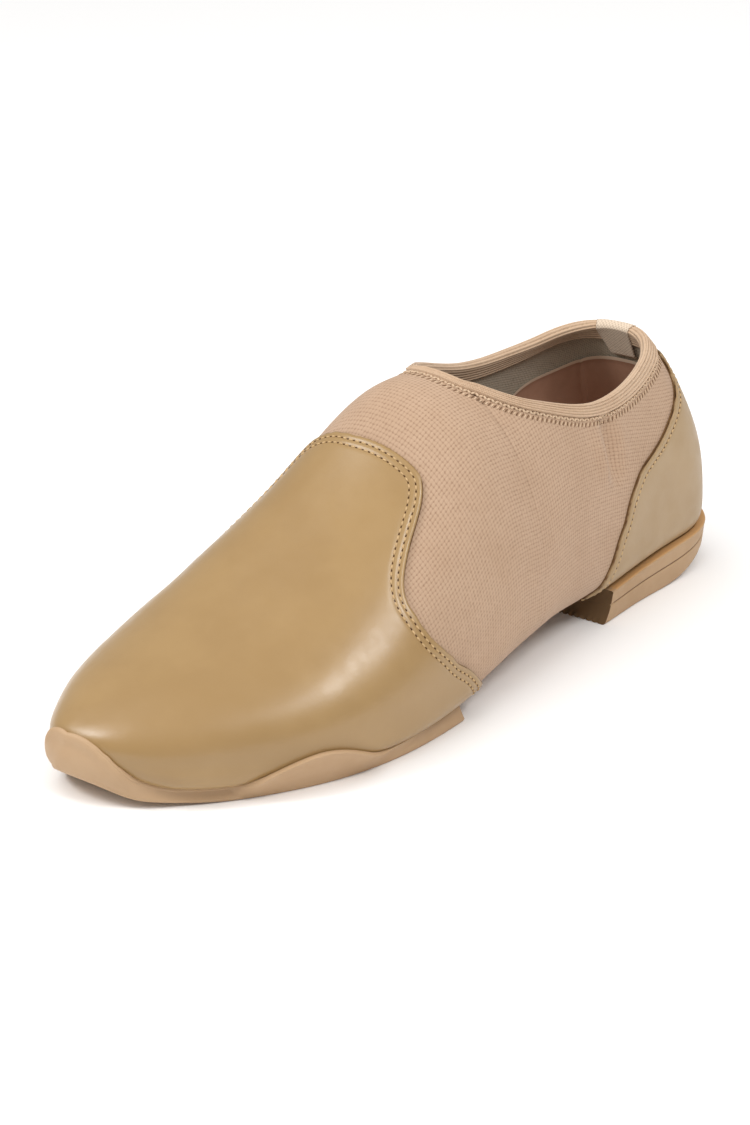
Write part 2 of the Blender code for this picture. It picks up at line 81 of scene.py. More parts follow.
def curveThrough(places, values):  # natural cubic through the given values
    x, y = np.array(places, float), np.array(values, float)
    step, count = np.diff(x), len(x)
    system, pull = np.eye(count), np.zeros(count)
    for i in range(1, count - 1):
        system[i, i - 1:i + 2] = step[i - 1], 2 * (step[i - 1] + step[i]), step[i]
        pull[i] = 6 * ((y[i + 1] - y[i]) / step[i] - (y[i] - y[i - 1]) / step[i - 1])
    bend = np.linalg.solve(system, pull)

    def value(place):
        p = np.clip(np.asarray(place, float), x[0], x[-1])
        i = np.clip(np.searchsorted(x, p) - 1, 0, count - 2)
        b = (p - x[i]) / step[i]
        a = 1 - b
        curve = (a ** 3 - a) * bend[i] + (b ** 3 - b) * bend[i + 1]
        return a * y[i] + b * y[i + 1] + curve * step[i] ** 2 / 6

    return value


def curvesOf(table, first="along"):
    columns = {name: value for name, value in table.items() if isinstance(value, tuple) and name != first}
    names = [name for name, value in columns.items() if len(value) == len(table[first])]
    return {name: curveThrough(table[first], table[name]) for name in names}


sectionCurve = curvesOf(sections)
leanForward = curvesOf(heelLean, "height")["forward"]
collarCurve = curvesOf(collarLine)


def bySide(curves, along, side):
    return np.where(side > 0, curves["lateral"](along), curves["medial"](along))


def endRounding(depth, reach, power):
    inside = np.clip(depth, 0, reach)
    return np.maximum(1 - ((reach - inside) / reach) ** power, 0) ** (1 / power)


def levelsAt(along):  # lowest, widest and highest level of a section
    form = shoeLast
    toTip = form["length"] - along
    crown, floor = sectionCurve["crown"](along) - form["tipZ"], sectionCurve["floor"](along) - form["tipZ"]
    top = form["tipZ"] + crown * endRounding(toTip, form["topReach"], 2)
    bottom = form["tipZ"] + floor * endRounding(toTip, form["underReach"], 2)
    return bottom, bottom + sectionCurve["belly"](along) * (top - bottom), top


def lastPoint(along, turn, side):
    form = shoeLast
    along, turn, side = np.broadcast_arrays(np.asarray(along, float), turn, side)
    toTip = form["length"] - along
    ends = endRounding(toTip, form["toeReach"], form["toePower"])
    ends = ends * endRounding(along, form["heelReach"], form["heelPower"])
    middle = form["tipX"] * np.clip(1 - toTip / form["bend"], 0, 1) ** form["fade"]
    edge = middle + (side * bySide(sectionCurve, along, side) - middle) * ends
    bottom, widest, top = levelsAt(along)
    under = turn <= math.pi / 2
    power = 2 / np.where(under, sectionCurve["low"](along), sectionCurve["high"](along))
    out, up = np.abs(np.sin(turn)) ** power, np.abs(np.cos(turn)) ** power
    centre = np.where(under, middle, middle + (sectionCurve["ridge"](along) - middle) * ends)
    x = centre + (edge - centre) * out
    z = np.where(under, widest - (widest - bottom) * up, widest + (top - widest) * up)
    lean = leanForward(z) * np.clip(1 - along / form["leanReach"], 0, 1) ** form["fade"]
    return np.stack([x, along + lean, z], -1)


def turnAt(along, level):  # turn at which the section reaches a level
    bottom, widest, top = levelsAt(along)
    above = level >= widest
    power = np.where(above, sectionCurve["high"](along), sectionCurve["low"](along)) / 2
    reach = np.maximum(np.where(above, top - widest, widest - bottom), tiny)
    angle = np.arccos(np.clip(np.abs(level - widest) / reach, 0, 1) ** power)
    return np.where(above, math.pi - angle, angle)


def unitOf(vectors):
    return vectors / np.maximum(np.linalg.norm(vectors, axis=-1, keepdims=True), tiny ** 2)


def slopesAt(along, turn, side):  # directions forwards and upwards on the surface
    step, end, seam = 0.002, 0.02, 0.01
    a = np.clip(along, end, shoeLast["length"] - end)
    t = np.clip(turn, seam, math.pi - seam)
    forward = lastPoint(a + step, t, side) - lastPoint(a - step, t, side)
    upward = lastPoint(a, t + step, side) - lastPoint(a, t - step, side)
    return forward / (2 * step), upward / (2 * step)


def outwardAt(along, turn, side):  # both sides share it on their seams
    def oneSide(which):
        forward, upward = slopesAt(along, turn, which)
        return unitOf(np.cross(forward, upward) * which[..., None])

    along, turn, side = np.broadcast_arrays(np.asarray(along, float), turn, np.asarray(side, float))
    normal = oneSide(side)
    seam = (turn < tiny) | (turn > math.pi - tiny) | (along < tiny)
    normal = np.where(seam[..., None], unitOf(normal + oneSide(-side)), normal)
    tip = along > shoeLast["length"] - tiny
    return np.where(tip[..., None], np.array([0.0, 1.0, 0.0]), normal)


def liftedPoint(along, turn, side, lift):
    lift = np.asarray(lift, float)
    return lastPoint(along, turn, side) + outwardAt(along, turn, side) * lift[..., None]


def topTurn(along, side):  # the collar behind the throat, the ridge ahead of it
    along = np.asarray(along, float)
    start = collarLine["throat"] - collarLine["throatRound"]
    behind = np.minimum(along, start)
    collar = turnAt(behind, np.minimum(bySide(collarCurve, behind, side), levelsAt(behind)[2]))
    share = np.clip((along - start) / collarLine["throatRound"], 0, 1)
    return math.pi - (math.pi - collar) * np.sqrt(1 - share ** 2)


def toShoe(points):  # toe towards -Y, outer side towards +X, in metres
    yaw = math.radians(shoeLast["yaw"])
    x, y = points[..., 0], shoeLast["halfWay"] - points[..., 1]
    turnedX = x * math.cos(yaw) - y * math.sin(yaw) - shoeLast["centre"][0]
    turnedY = x * math.sin(yaw) + y * math.cos(yaw) - shoeLast["centre"][1]
    return np.stack([turnedX, turnedY, points[..., 2]], -1) * mm


def runOf(points, axis=0):  # length walked along a row of points
    steps = np.linalg.norm(np.diff(points, axis=axis), axis=-1)
    start = np.zeros_like(np.take(steps, [0], axis))
    return np.concatenate([start, np.cumsum(steps, axis)], axis)


def spotsAt(points, run, at):  # points at given distances along a row
    return np.stack([np.interp(at, run, points[:, k]) for k in range(3)], -1)


planFine = shoeLast["length"] * (1 - np.cos(np.linspace(0, math.pi, fineSteps["plan"]))) / 2
planRun = runOf(lastPoint(planFine, math.pi / 2, 1))


def evenAlong(start, end, count):  # places along that divide the outline evenly
    ends = np.interp([start, end], planFine, planRun)
    return np.interp(np.linspace(*ends, count + 1), planRun, planFine)


def evenTurns(along, side, low, high, shares):  # turns that divide each section evenly, and the whole way
    along = np.asarray(along, float)[:, None]
    low, high = np.broadcast_to(low, along.shape), np.broadcast_to(high, along.shape)
    bottom, widest = levelsAt(along)[:2]
    wall = turnAt(along, bottom + (widest - bottom) * np.linspace(0.001, 1, fineSteps["wall"]))
    turns = np.concatenate([low + (high - low) * np.linspace(0, 1, fineSteps["section"]), wall], 1)
    turns = np.sort(np.clip(turns, low, high), 1)
    run = runOf(lastPoint(along, turns, side), 1)
    spread = np.stack([np.interp(shares * r[-1], r, t) for r, t in zip(run, turns)])
    return spread, run[:, -1:]


def newSheet():  # bmesh with a layer that carries each point's place on its material
    bm = bmesh.new()
    bm.verts.layers.float_vector.new("lay")
    return bm


def sharesFor(side, cols):  # from the bottom up on the outer side, and down again on the inner one
    return np.linspace(0, 1, cols + 1)[::side]


def addGrid(bm, points, lay):  # rows of points, each with its place on the material
    layer = bm.verts.layers.float_vector["lay"]
    rows, cols = points.shape[0] - 1, points.shape[1] - 1
    made = bmesh.ops.create_grid(bm, x_segments=cols, y_segments=rows, size=0.5)["verts"]
    spots = toShoe(points)
    for vert in made:
        i, j = round((vert.co.y + 0.5) * rows), round((vert.co.x + 0.5) * cols)
        vert.co = spots[i, j]
        vert[layer] = lay[i, j]
    return made


def addObject(name, data):
    thing = bpy.data.objects.new(name, data)
    bpy.context.scene.collection.objects.link(thing)
    return thing


def finishPiece(name, bm, finishes, node=None, wall=0, sharp=50):
    bmesh.ops.remove_doubles(bm, verts=bm.verts, dist=weld)
    mesh = bpy.data.meshes.new(name)
    bm.to_mesh(mesh)
    bm.free()
    mesh.shade_smooth()
    mesh.set_sharp_from_angle(angle=math.radians(sharp))
    for finish in finishes:
        mesh.materials.append(finishNamed[finish])
    piece = addObject(name, mesh)
    if wall:
        solid = piece.modifiers.new("wall", "SOLIDIFY")
        solid.thickness = wall * mm
        solid.offset = -1
        solid.material_offset = len(finishes) - 1  # the inner face takes the last finish
        solid.material_offset_rim = 0
    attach(piece, "root")
    if node:
        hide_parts(node)
    print("made", name, len(mesh.polygons), "faces")
    return piece


# finishes
def linkTo(tree, value, socket):
    if isinstance(value, bpy.types.NodeSocket):
        tree.links.new(value, socket)
    else:
        socket.default_value = value


def mathNode(tree, operation, *values):
    node = tree.nodes.new("ShaderNodeMath")
    node.operation = operation
    for value, socket in zip(values, node.inputs):
        linkTo(tree, value, socket)
    return node.outputs[0]


def mixNode(tree, factor, first, second):
    node = tree.nodes.new("ShaderNodeMix")
    node.data_type = "RGBA"
    for value, socket in zip((factor, first, second), (node.inputs[0], node.inputs[6], node.inputs[7])):
        linkTo(tree, value, socket)
    return node.outputs[2]


def spanNode(tree, value, fromLow, fromHigh, toLow=0.0, toHigh=1.0):
    node = tree.nodes.new("ShaderNodeMapRange")
    node.interpolation_type = "SMOOTHSTEP"
    for v, socket in zip((value, fromLow, fromHigh, toLow, toHigh), node.inputs):
        linkTo(tree, v, socket)
    return node.outputs[0]


def noiseNode(tree, vector, scale, detail=3.0, rough=0.55):
    node = tree.nodes.new("ShaderNodeTexNoise")
    linkTo(tree, vector, node.inputs["Vector"])
    linkTo(tree, scale, node.inputs["Scale"])
    node.inputs["Detail"].default_value = detail
    node.inputs["Roughness"].default_value = rough
    return node.outputs[0]


def startGroup(name, inputs, outputs):
    group = bpy.data.node_groups.new(name, "ShaderNodeTree")
    for label, kind in inputs.items():
        group.interface.new_socket(name=label, in_out="INPUT", socket_type="NodeSocket" + kind)
    for label, kind in outputs.items():
        group.interface.new_socket(name=label, in_out="OUTPUT", socket_type="NodeSocket" + kind)
    return group, group.nodes.new("NodeGroupInput").outputs, group.nodes.new("NodeGroupOutput").inputs


def useGroup(tree, group, **values):
    node = tree.nodes.new("ShaderNodeGroup")
    node.node_tree = group
    for label, value in values.items():
        linkTo(tree, value, node.inputs[label])
    return node.outputs


weaveForm = {"strayScale": 0.8, "round": 0.6, "pillow": 0.45, "swap": 0.08, "patch": 0.5, "sink": 0.25,
             "thread": (0.05, 0.8)}
grainForm = {"fineScale": 1.9, "detail": 4.0, "rough": 0.6, "pebble": 0.8}
mottleForm = {"detail": 4.0, "rough": 0.6, "span": (0.35, 0.68)}


def makeWeave():  # plain weave: small pillows with fine lines both ways and pits at the corners; its second output is painted shade, dark in the low pits and rib valleys, with random patches
    form = weaveForm
    inputs = {"Lay": "Vector", "Across": "Float", "Along": "Float", "Wobble": "Float"}
    group, given, put = startGroup("plainWeave", inputs, {"Height": "Float", "PitShade": "Float"})
    noise = group.nodes.new("ShaderNodeTexNoise")
    group.links.new(given["Lay"], noise.inputs["Vector"])
    noise.inputs["Scale"].default_value = form["strayScale"]
    stray = group.nodes.new("ShaderNodeVectorMath")
    stray.operation = "SCALE"
    group.links.new(noise.outputs["Color"], stray.inputs[0])
    group.links.new(given["Wobble"], stray.inputs["Scale"])
    wobble = group.nodes.new("ShaderNodeVectorMath")
    group.links.new(stray.outputs[0], wobble.inputs[0])
    group.links.new(given["Lay"], wobble.inputs[1])
    split = group.nodes.new("ShaderNodeSeparateXYZ")
    group.links.new(wobble.outputs[0], split.inputs[0])
    waves, ridges = [], []
    for part, pitch in ((split.outputs[0], given["Along"]), (split.outputs[1], given["Across"])):
        turns = mathNode(group, "DIVIDE", part, pitch)
        waves.append(mathNode(group, "SINE", mathNode(group, "MULTIPLY", turns, math.pi)))
        ridges.append(mathNode(group, "POWER", mathNode(group, "ABSOLUTE", waves[-1]), form["round"]))
    swap = mathNode(group, "MULTIPLY", *waves)
    pillow = mathNode(group, "MULTIPLY", mathNode(group, "ADD", *ridges), form["pillow"])
    height = mathNode(group, "MULTIPLY_ADD", swap, form["swap"], pillow)
    group.links.new(height, put["Height"])
    # painted shade: the mask falls where the weave is low, and noise adds random patches
    sunk = mathNode(group, "SUBTRACT", height, form["sink"])
    patchy = mathNode(group, "MULTIPLY_ADD", noise.outputs[0], form["patch"], sunk)
    group.links.new(spanNode(group, patchy, *form["thread"]), put["PitShade"])
    return group


def makeGrain():  # fine pebble with a softer swell under it
    form = grainForm
    group, given, put = startGroup("fineGrain", {"Place": "Vector", "Scale": "Float"}, {"Height": "Float"})
    cells = group.nodes.new("ShaderNodeTexVoronoi")
    cells.feature = "SMOOTH_F1"
    group.links.new(given["Place"], cells.inputs["Vector"])
    group.links.new(given["Scale"], cells.inputs["Scale"])
    scale = mathNode(group, "MULTIPLY", given["Scale"], form["fineScale"])
    fine = noiseNode(group, given["Place"], scale, form["detail"], form["rough"])
    height = mathNode(group, "MULTIPLY_ADD", cells.outputs["Distance"], form["pebble"], fine)
    group.links.new(height, put["Height"])
    return group


def makeMottle():  # slow change of tone over a surface
    form = mottleForm
    inputs = {"Place": "Vector", "Scale": "Float", "Light": "Color", "Dark": "Color", "Amount": "Float"}
    group, given, put = startGroup("softMottle", inputs, {"Color": "Color"})
    noise = noiseNode(group, given["Place"], given["Scale"], form["detail"], form["rough"])
    tone = spanNode(group, noise, *form["span"])
    mask = mathNode(group, "MULTIPLY", tone, given["Amount"])
    group.links.new(mixNode(group, mask, given["Light"], given["Dark"]), put["Color"])
    return group


plainWeave, fineGrain, softMottle = makeWeave(), makeGrain(), makeMottle()


def startFinish(name, roughness):
    finish = bpy.data.materials.new(name)
    finish.use_nodes = True
    tree = finish.node_tree
    shader = tree.nodes["Principled BSDF"]
    shader.inputs["Roughness"].default_value = roughness
    place = tree.nodes.new("ShaderNodeTexCoord").outputs["Object"]
    lay = tree.nodes.new("ShaderNodeAttribute")
    lay.attribute_name = "lay"
    return finish, tree, shader, place, lay.outputs["Vector"]


def addBump(tree, shader, height, strength, distance):
    bump = tree.nodes.new("ShaderNodeBump")
    bump.inputs["Strength"].default_value = strength
    bump.inputs["Distance"].default_value = distance * mm
    tree.links.new(height, bump.inputs["Height"])
    tree.links.new(bump.outputs["Normal"], shader.inputs["Normal"])


def rgb(red, green, blue):  # screen colour to linear
    return tuple(c / 12.92 if c <= 0.04045 else ((c + 0.055) / 1.055) ** 2.4
                 for c in (red / 255, green / 255, blue / 255)) + (1.0,)


clothForm = {"amount": 0.55, "specular": 0.2, "sheenRoughness": 0.5, "depth": 0.45}
hideForm = {"roughScale": 6, "roughSpan": (0.3, 0.7), "coatShare": 0.85, "depthShare": 0.5}


def clothFinish(name, look):
    finish, tree, shader, place, lay = startFinish(name, look["roughness"])
    across, along = look["pitch"]
    woven = useGroup(tree, plainWeave, Lay=lay, Across=across, Along=along, Wobble=look["wobble"])
    tone = useGroup(tree, softMottle, Place=place, Scale=look["mottle"], Light=look["thread"],
                    Dark=look["shade"], Amount=clothForm["amount"])
    # the pit colour is painted shade in the hollows of the weave, mixed in where the weave is low
    colour = mixNode(tree, woven["PitShade"], look["pitShade"], tone["Color"])
    tree.links.new(colour, shader.inputs["Base Color"])
    shader.inputs["Specular IOR Level"].default_value = clothForm["specular"]
    shader.inputs["Sheen Weight"].default_value = look["sheen"]
    shader.inputs["Sheen Roughness"].default_value = clothForm["sheenRoughness"]
    addBump(tree, shader, woven["Height"], look["relief"], clothForm["depth"])
    return finish


def hideFinish(name, look):  # leather and rubber: an edge colour where lay.x is small, and painted shade along a groove where lay.y is
    finish, tree, shader, place, lay = startFinish(name, look["roughness"])
    tone = useGroup(tree, softMottle, Place=place, Scale=look["mottle"], Light=look["light"],
                    Dark=look["dark"], Amount=look["amount"])
    colour = tone["Color"]
    split = tree.nodes.new("ShaderNodeSeparateXYZ")
    tree.links.new(lay, split.inputs[0])
    for mark, part in (("edge", split.outputs[0]), ("grooveShade", split.outputs[1])):
        if mark in look:
            near = spanNode(tree, part, *look[mark + "At"], 1.0, 0.0)
            colour = mixNode(tree, near, colour, look[mark])
    tree.links.new(colour, shader.inputs["Base Color"])
    low, high = look["roughness"] - look["roughSpread"], look["roughness"] + look["roughSpread"]
    noise = noiseNode(tree, place, look["mottle"] * hideForm["roughScale"])
    rough = spanNode(tree, noise, *hideForm["roughSpan"], low, high)
    tree.links.new(rough, shader.inputs["Roughness"])
    shader.inputs["Specular IOR Level"].default_value = look["specular"]
    shader.inputs["Coat Weight"].default_value = look.get("coat", 0.0)
    shader.inputs["Coat Roughness"].default_value = look["roughness"] * hideForm["coatShare"]
    grain = useGroup(tree, fineGrain, Place=place, Scale=look["grain"])
    addBump(tree, shader, grain["Height"], look["relief"], look["relief"] * hideForm["depthShare"])
    return finish


fabricLook = {"roughness": 0.92, "pitch": (1.2, 1.2), "wobble": 0.6, "mottle": 60, "sheen": 0.12,
              "relief": 0.4, "thread": rgb(184, 155, 130), "shade": rgb(176, 146, 120),
              "pitShade": rgb(146, 116, 92)}
liningLook = {"roughness": 0.95, "pitch": (1.0, 1.0), "wobble": 0.6, "mottle": 50, "sheen": 0.1,
              "relief": 0.35, "thread": rgb(190, 178, 158), "shade": rgb(172, 160, 140),
              "pitShade": rgb(130, 118, 100)}
tapeLook = {"roughness": 0.85, "pitch": (1.1, 0.5), "wobble": 0.1, "mottle": 60, "sheen": 0.15,
            "relief": 0.25, "thread": rgb(202, 174, 146), "shade": rgb(190, 160, 131),
            "pitShade": rgb(140, 110, 84)}
# the tape's end patch lies in shade inside the rim: a lighter copy of the tape colours, painted light, with
# its own diagonal pitch
tapeEndLitLook = dict(tapeLook, pitch=(1.3, 1.3), thread=rgb(224, 206, 184), shade=rgb(210, 190, 168),
                   pitShade=rgb(150, 126, 104))
insoleLook = {"roughness": 0.95, "pitch": (0.8, 0.8), "wobble": 0.5, "mottle": 40, "sheen": 0.15,
              "relief": 0.3, "thread": rgb(150, 116, 92), "shade": rgb(130, 98, 76), "pitShade": rgb(92, 68, 52)}
vampLook = {"roughness": 0.35, "roughSpread": 0.05, "mottle": 30, "coat": 0.27, "light": rgb(160, 129, 84),
            "dark": rgb(149, 118, 74), "amount": 0.6, "edge": rgb(112, 80, 48), "edgeAt": (0.05, 0.25),
            "specular": 0.5, "grain": 950, "relief": 0.17}
counterLook = dict(vampLook, light=rgb(164, 137, 100), dark=rgb(154, 126, 88), roughness=0.45, coat=0.15)
soleLook = {"roughness": 0.55, "roughSpread": 0.06, "mottle": 45, "light": rgb(181, 150, 116),
            "dark": rgb(170, 138, 103), "amount": 0.6, "specular": 0.4, "grain": 2200, "relief": 0.12}
# the heel's groove is darkened with painted shade
heelLook = dict(soleLook, edge=rgb(194, 150, 100), edgeAt=(0.1, 0.3),
                grooveShade=rgb(126, 98, 70), grooveShadeAt=(0.12, 0.32))
# the heel breast: a darker copy of the sole rubber, painted shade under the arch
breastShadeLook = dict(soleLook, light=rgb(112, 86, 56), dark=rgb(96, 72, 46), roughness=0.7)
heelLiningLook = {"roughness": 0.9, "roughSpread": 0.04, "mottle": 60, "light": rgb(190, 148, 124),
                  "dark": rgb(172, 130, 106), "amount": 0.7, "edge": rgb(236, 214, 190), "edgeAt": (1.3, 1.6),
                  "specular": 0.25, "grain": 1800, "relief": 0.2}
# dark strip beside the leather edges: painted shade
edgeShadeLook = {"roughness": 0.8, "roughSpread": 0.05, "mottle": 120, "light": rgb(112, 82, 52),
               "dark": rgb(88, 62, 38), "amount": 0.8, "specular": 0.2, "grain": 2500, "relief": 0.2}
threadLook = {"roughness": 0.75, "roughSpread": 0.05, "mottle": 200, "light": rgb(196, 165, 122),
              "dark": rgb(180, 149, 107), "amount": 0.7, "specular": 0.3, "grain": 4000, "relief": 0.2}
collarThreadLook = dict(threadLook, light=rgb(204, 178, 150), dark=rgb(188, 160, 132))
# dark beads at the needle holes: painted shade of the holes
holeShadeLook = dict(edgeShadeLook, light=rgb(90, 62, 38), dark=rgb(74, 50, 30))
# dark dashes beside the collar stitching: painted shade of the needle holes
dashShadeLook = dict(edgeShadeLook, light=rgb(128, 100, 76), dark=rgb(108, 82, 60))

clothLooks = {"stretchFabric": fabricLook, "oliveLining": liningLook, "tapeElastic": tapeLook,
              "tapeEndPaintedLight": tapeEndLitLook, "insoleCloth": insoleLook}
hideLooks = {"vampLeather": vampLook, "counterLeather": counterLook, "soleRubber": soleLook,
             "heelRubber": heelLook, "breastPaintedShade": breastShadeLook, "heelLiningSuede": heelLiningLook,
             "paintedEdgeShade": edgeShadeLook, "paleThread": threadLook, "needleHoleShade": holeShadeLook,
             "collarThread": collarThreadLook, "collarDashShade": dashShadeLook}
finishNamed = {name: clothFinish(name, look) for name, look in clothLooks.items()}
finishNamed.update({name: hideFinish(name, look) for name, look in hideLooks.items()})
print("finishes ready")


# curves on the last are rows of points; a table of its surface gives the nearest spot and outward direction
surfaceLook = {"rows": 240, "cols": 130, "near": 5, "soft": 0.05, "gap": 0.7, "passes": 6}


def makeSurface():
    rowsAlong = evenAlong(0, shoeLast["length"], surfaceLook["rows"])
    shares = np.linspace(0, 1, surfaceLook["cols"] + 1)
    spots, normals = [], []
    for side in (1, -1):
        turn = evenTurns(rowsAlong, side, 0, math.pi, shares)[0]
        along = np.broadcast_to(rowsAlong[:, None], turn.shape)
        spots.append(lastPoint(along, turn, side).reshape(-1, 3))
        normals.append(outwardAt(along, turn, side).reshape(-1, 3))
    return np.concatenate(spots), np.concatenate(normals)


def treeOf(spots):
    tree = KDTree(len(spots))
    for k, spot in enumerate(spots):
        tree.insert(spot, k)
    tree.balance()
    return tree


lastSpots, lastNormals = makeSurface()
lastTree = treeOf(lastSpots)


def onSurface(points):  # points drawn onto the last, and the outward directions there
    found = [lastTree.find_n(point, surfaceLook["near"]) for point in points]
    pick = np.array([[hit[1] for hit in row] for row in found])
    weight = 1 / (np.array([[hit[2] for hit in row] for row in found]) ** 2 + surfaceLook["soft"])
    weight = weight / weight.sum(1, keepdims=True)
    normals = unitOf(np.einsum("nk,nkx->nx", weight, lastNormals[pick]))
    above = np.einsum("nkx,nkx->nk", points[:, None] - lastSpots[pick], lastNormals[pick])
    return points - normals * np.sum(weight * above, 1, keepdims=True), normals


def softened(points, closed, passes=1):
    for _ in range(passes):
        if closed:
            points = (np.roll(points, 1, 0) + 2 * points + np.roll(points, -1, 0)) / 4
        else:
            middle = (points[:-2] + 2 * points[1:-1] + points[2:]) / 4
            points = np.concatenate([points[:1], middle, points[-1:]])
    return points


def curveOf(points, closed=False):  # evenly spaced, softened and drawn onto the last
    whole = np.concatenate([points, points[:1]]) if closed else points
    run = runOf(whole)
    count = round(run[-1] / surfaceLook["gap"])
    at = np.linspace(0, run[-1], count + 1)[:count if closed else count + 1]
    even = softened(spotsAt(whole, run, at), closed, surfaceLook["passes"])
    return {"points": onSurface(even)[0], "closed": closed}


def joinSides(lateral, medial):  # up one side, over the middle and down the other
    return np.concatenate([lateral, medial[-2::-1]])


def curvePoints(curve, lift=0.0):
    spots, normals = onSurface(curve["points"])
    return spots + normals * np.broadcast_to(lift, len(spots))[:, None]


def curveRun(points, closed):  # unit direction of travel
    if closed:
        return unitOf(np.roll(points, -1, 0) - np.roll(points, 1, 0))
    return unitOf(np.gradient(points, axis=0))


def movedCurve(curve, width, stride=0.5):  # across the surface, to the right of travel seen from outside
    points, closed = curve["points"], curve["closed"]
    width = np.broadcast_to(width, len(points))
    steps = max(1, math.ceil(np.abs(width).max() / stride))
    for _ in range(steps):
        spots, normals = onSurface(points)
        across = unitOf(np.cross(curveRun(spots, closed), normals))
        points = softened(onSurface(spots + across * (width / steps)[:, None])[0], closed)
    return {"points": points, "closed": closed}


def nearest(points, curveSpots):  # distance of every point from a curve, in mm
    tree = treeOf(curveSpots)
    gaps = [tree.find(point)[2] for point in points.reshape(-1, 3)]
    return np.array(gaps).reshape(points.shape[:-1])


def foldLift(folds, points, side):  # soft troughs and ridges: along and level of both ends
    lift = np.zeros(points.shape[:-1])
    for fold in folds:
        if fold["side"] != side:
            continue
        start, end = np.array(fold["start"], float), np.array(fold["end"], float)
        way = end - start
        place = points[..., 1:3] - start
        share = np.clip(place @ way / (way @ way), 0, 1)
        gap = np.linalg.norm(place - share[..., None] * way, axis=-1)
        taper = 1 - np.abs(2 * share - 1) ** 3
        lift += fold["depth"] * np.exp(-(gap / fold["width"]) ** 2) * taper
    return lift


# stretch fabric body
sock = {
    "wall": 1.8, "rowsBehind": 84, "rowsAhead": 96, "cols": 76, "marginTurn": 40,
    "openUnder": ((160, 228), (10, 58)),
    "folds": (
        {"side": 1, "start": (68.5, 69), "end": (66.5, 45), "depth": -2.9, "width": 3.4},
        {"side": 1, "start": (75, 70), "end": (72.5, 48), "depth": 1.2, "width": 3.2},
        {"side": 1, "start": (61, 66), "end": (61.5, 52), "depth": 0.4, "width": 2.6},
        {"side": 1, "start": (92, 34), "end": (128, 22), "depth": -0.3, "width": 4.0},
        {"side": -1, "start": (71, 68), "end": (69, 44), "depth": -0.8, "width": 2.8},
        {"side": -1, "start": (79, 70), "end": (77, 50), "depth": 0.45, "width": 3.2},
        {"side": -1, "start": (90, 32), "end": (126, 22), "depth": -0.35, "width": 4.0},
    ),
}


def makeSock():
    throat = collarLine["throat"]
    rowsAlong = np.concatenate([evenAlong(0, throat, sock["rowsBehind"]),
                                evenAlong(throat, shoeLast["length"], sock["rowsAhead"])[1:]])
    bm = newSheet()
    for side in (1, -1):
        shares = sharesFor(side, sock["cols"])
        top = topTurn(rowsAlong, side)[:, None]
        turn, girth = evenTurns(rowsAlong, side, 0, top, shares)
        above = evenTurns(rowsAlong, side, top, math.pi, shares)[1]
        along = np.broadcast_to(rowsAlong[:, None], turn.shape)
        lift = foldLift(sock["folds"], lastPoint(along, turn, side), side)
        u = np.broadcast_to(np.interp(rowsAlong, planFine, planRun)[:, None], turn.shape)
        v = side * (girth * (1 - shares) + above)
        addGrid(bm, liftedPoint(along, turn, side, lift), np.stack([u, v, np.degrees(turn)], -1))
    lay = bm.verts.layers.float_vector["lay"]
    spans = [np.interp(ends, planFine, planRun) for ends in sock["openUnder"]]
    gone = []
    for face in bm.faces:
        places = np.array([v[lay] for v in face.verts])
        inSpan = any(low <= places[:, 0].min() and places[:, 0].max() <= high for low, high in spans)
        if inSpan and places[:, 2].max() <= sock["marginTurn"]:
            gone.append(face)
    bmesh.ops.delete(bm, geom=gone, context="FACES")
    return finishPiece("sock", bm, ["stretchFabric", "oliveLining"], "upper", sock["wall"])


makeSock()


# leather toe piece
vamp = {
    "lift": 0.35, "leather": 1.0, "cols": 74, "edgeRows": 20, "edgeReach": 8.0, "rows": 88, "marginTurn": 40,
    "way": (44.6, 58.3, 81.1, 96.6, 107.8, 118.1, 126.2, 131.6, 135.6,
            138.8, 141, 143.2, 145.9, 148.2, 152.2, 165.7, 180),
    "along": (141, 146.1, 153.2, 160.2, 165.2, 166.6, 166.2, 163.4, 159.2,
              154.6, 150.7, 147.1, 144.3, 142.9, 142.2, 142.1, 142.6),
    "wayPower": 0.364, "wayReach": 50, "evenAt": 190,
    "edgeRound": 0.75, "edgeThin": 0.15, "stitchAt": (1.75, 3.7), "stitchSink": 0.16, "stitchHalf": 0.55,
    "folds": (
        {"side": 1, "start": (176, 40), "end": (196, 20), "depth": -0.22, "width": 5.0},
        {"side": -1, "start": (180, 40), "end": (196, 18), "depth": -0.25, "width": 5.0},
        {"side": -1, "start": (192, 36), "end": (206, 18), "depth": 0.2, "width": 5.0},
        {"side": 1, "start": (220, 5.5), "end": (244, 8.5), "depth": 1.3, "width": 4.0},
    ),
    "edgeShade": (-0.2, 1.0),
}
edgeShadeForm = {"lift": 0.3, "rise": (0.2, 0.9, 1, 1, 1, 1), "wall": 0.5}
shoeMiddle = (0, 0, 0.03)
vampLine = curvesOf(vamp, "way")["along"]


def vampBack(turns):  # back edge at a turn; "way" is the turn, spread out where the wall stands up
    low = 90 - vamp["wayReach"] * np.abs(np.cos(turns)) ** vamp["wayPower"]
    return vampLine(np.where(turns < math.pi / 2, low, np.degrees(turns)))


def vampTurns(side):
    margin = math.radians(vamp["marginTurn"])
    return evenTurns([vamp["evenAt"]], side, margin, math.pi, sharesFor(1, vamp["cols"]))[0][0]


def vampEdgeCurve():
    way = np.linspace(vamp["way"][0], vamp["way"][-1], fineSteps["edge"])
    low = np.arccos(np.clip((90 - way) / vamp["wayReach"], 0, 1) ** (1 / vamp["wayPower"]))
    turns = np.where(way < 90, low, np.radians(way))
    return curveOf(joinSides(*[lastPoint(vampLine(way), turns, side) for side in (1, -1)]))


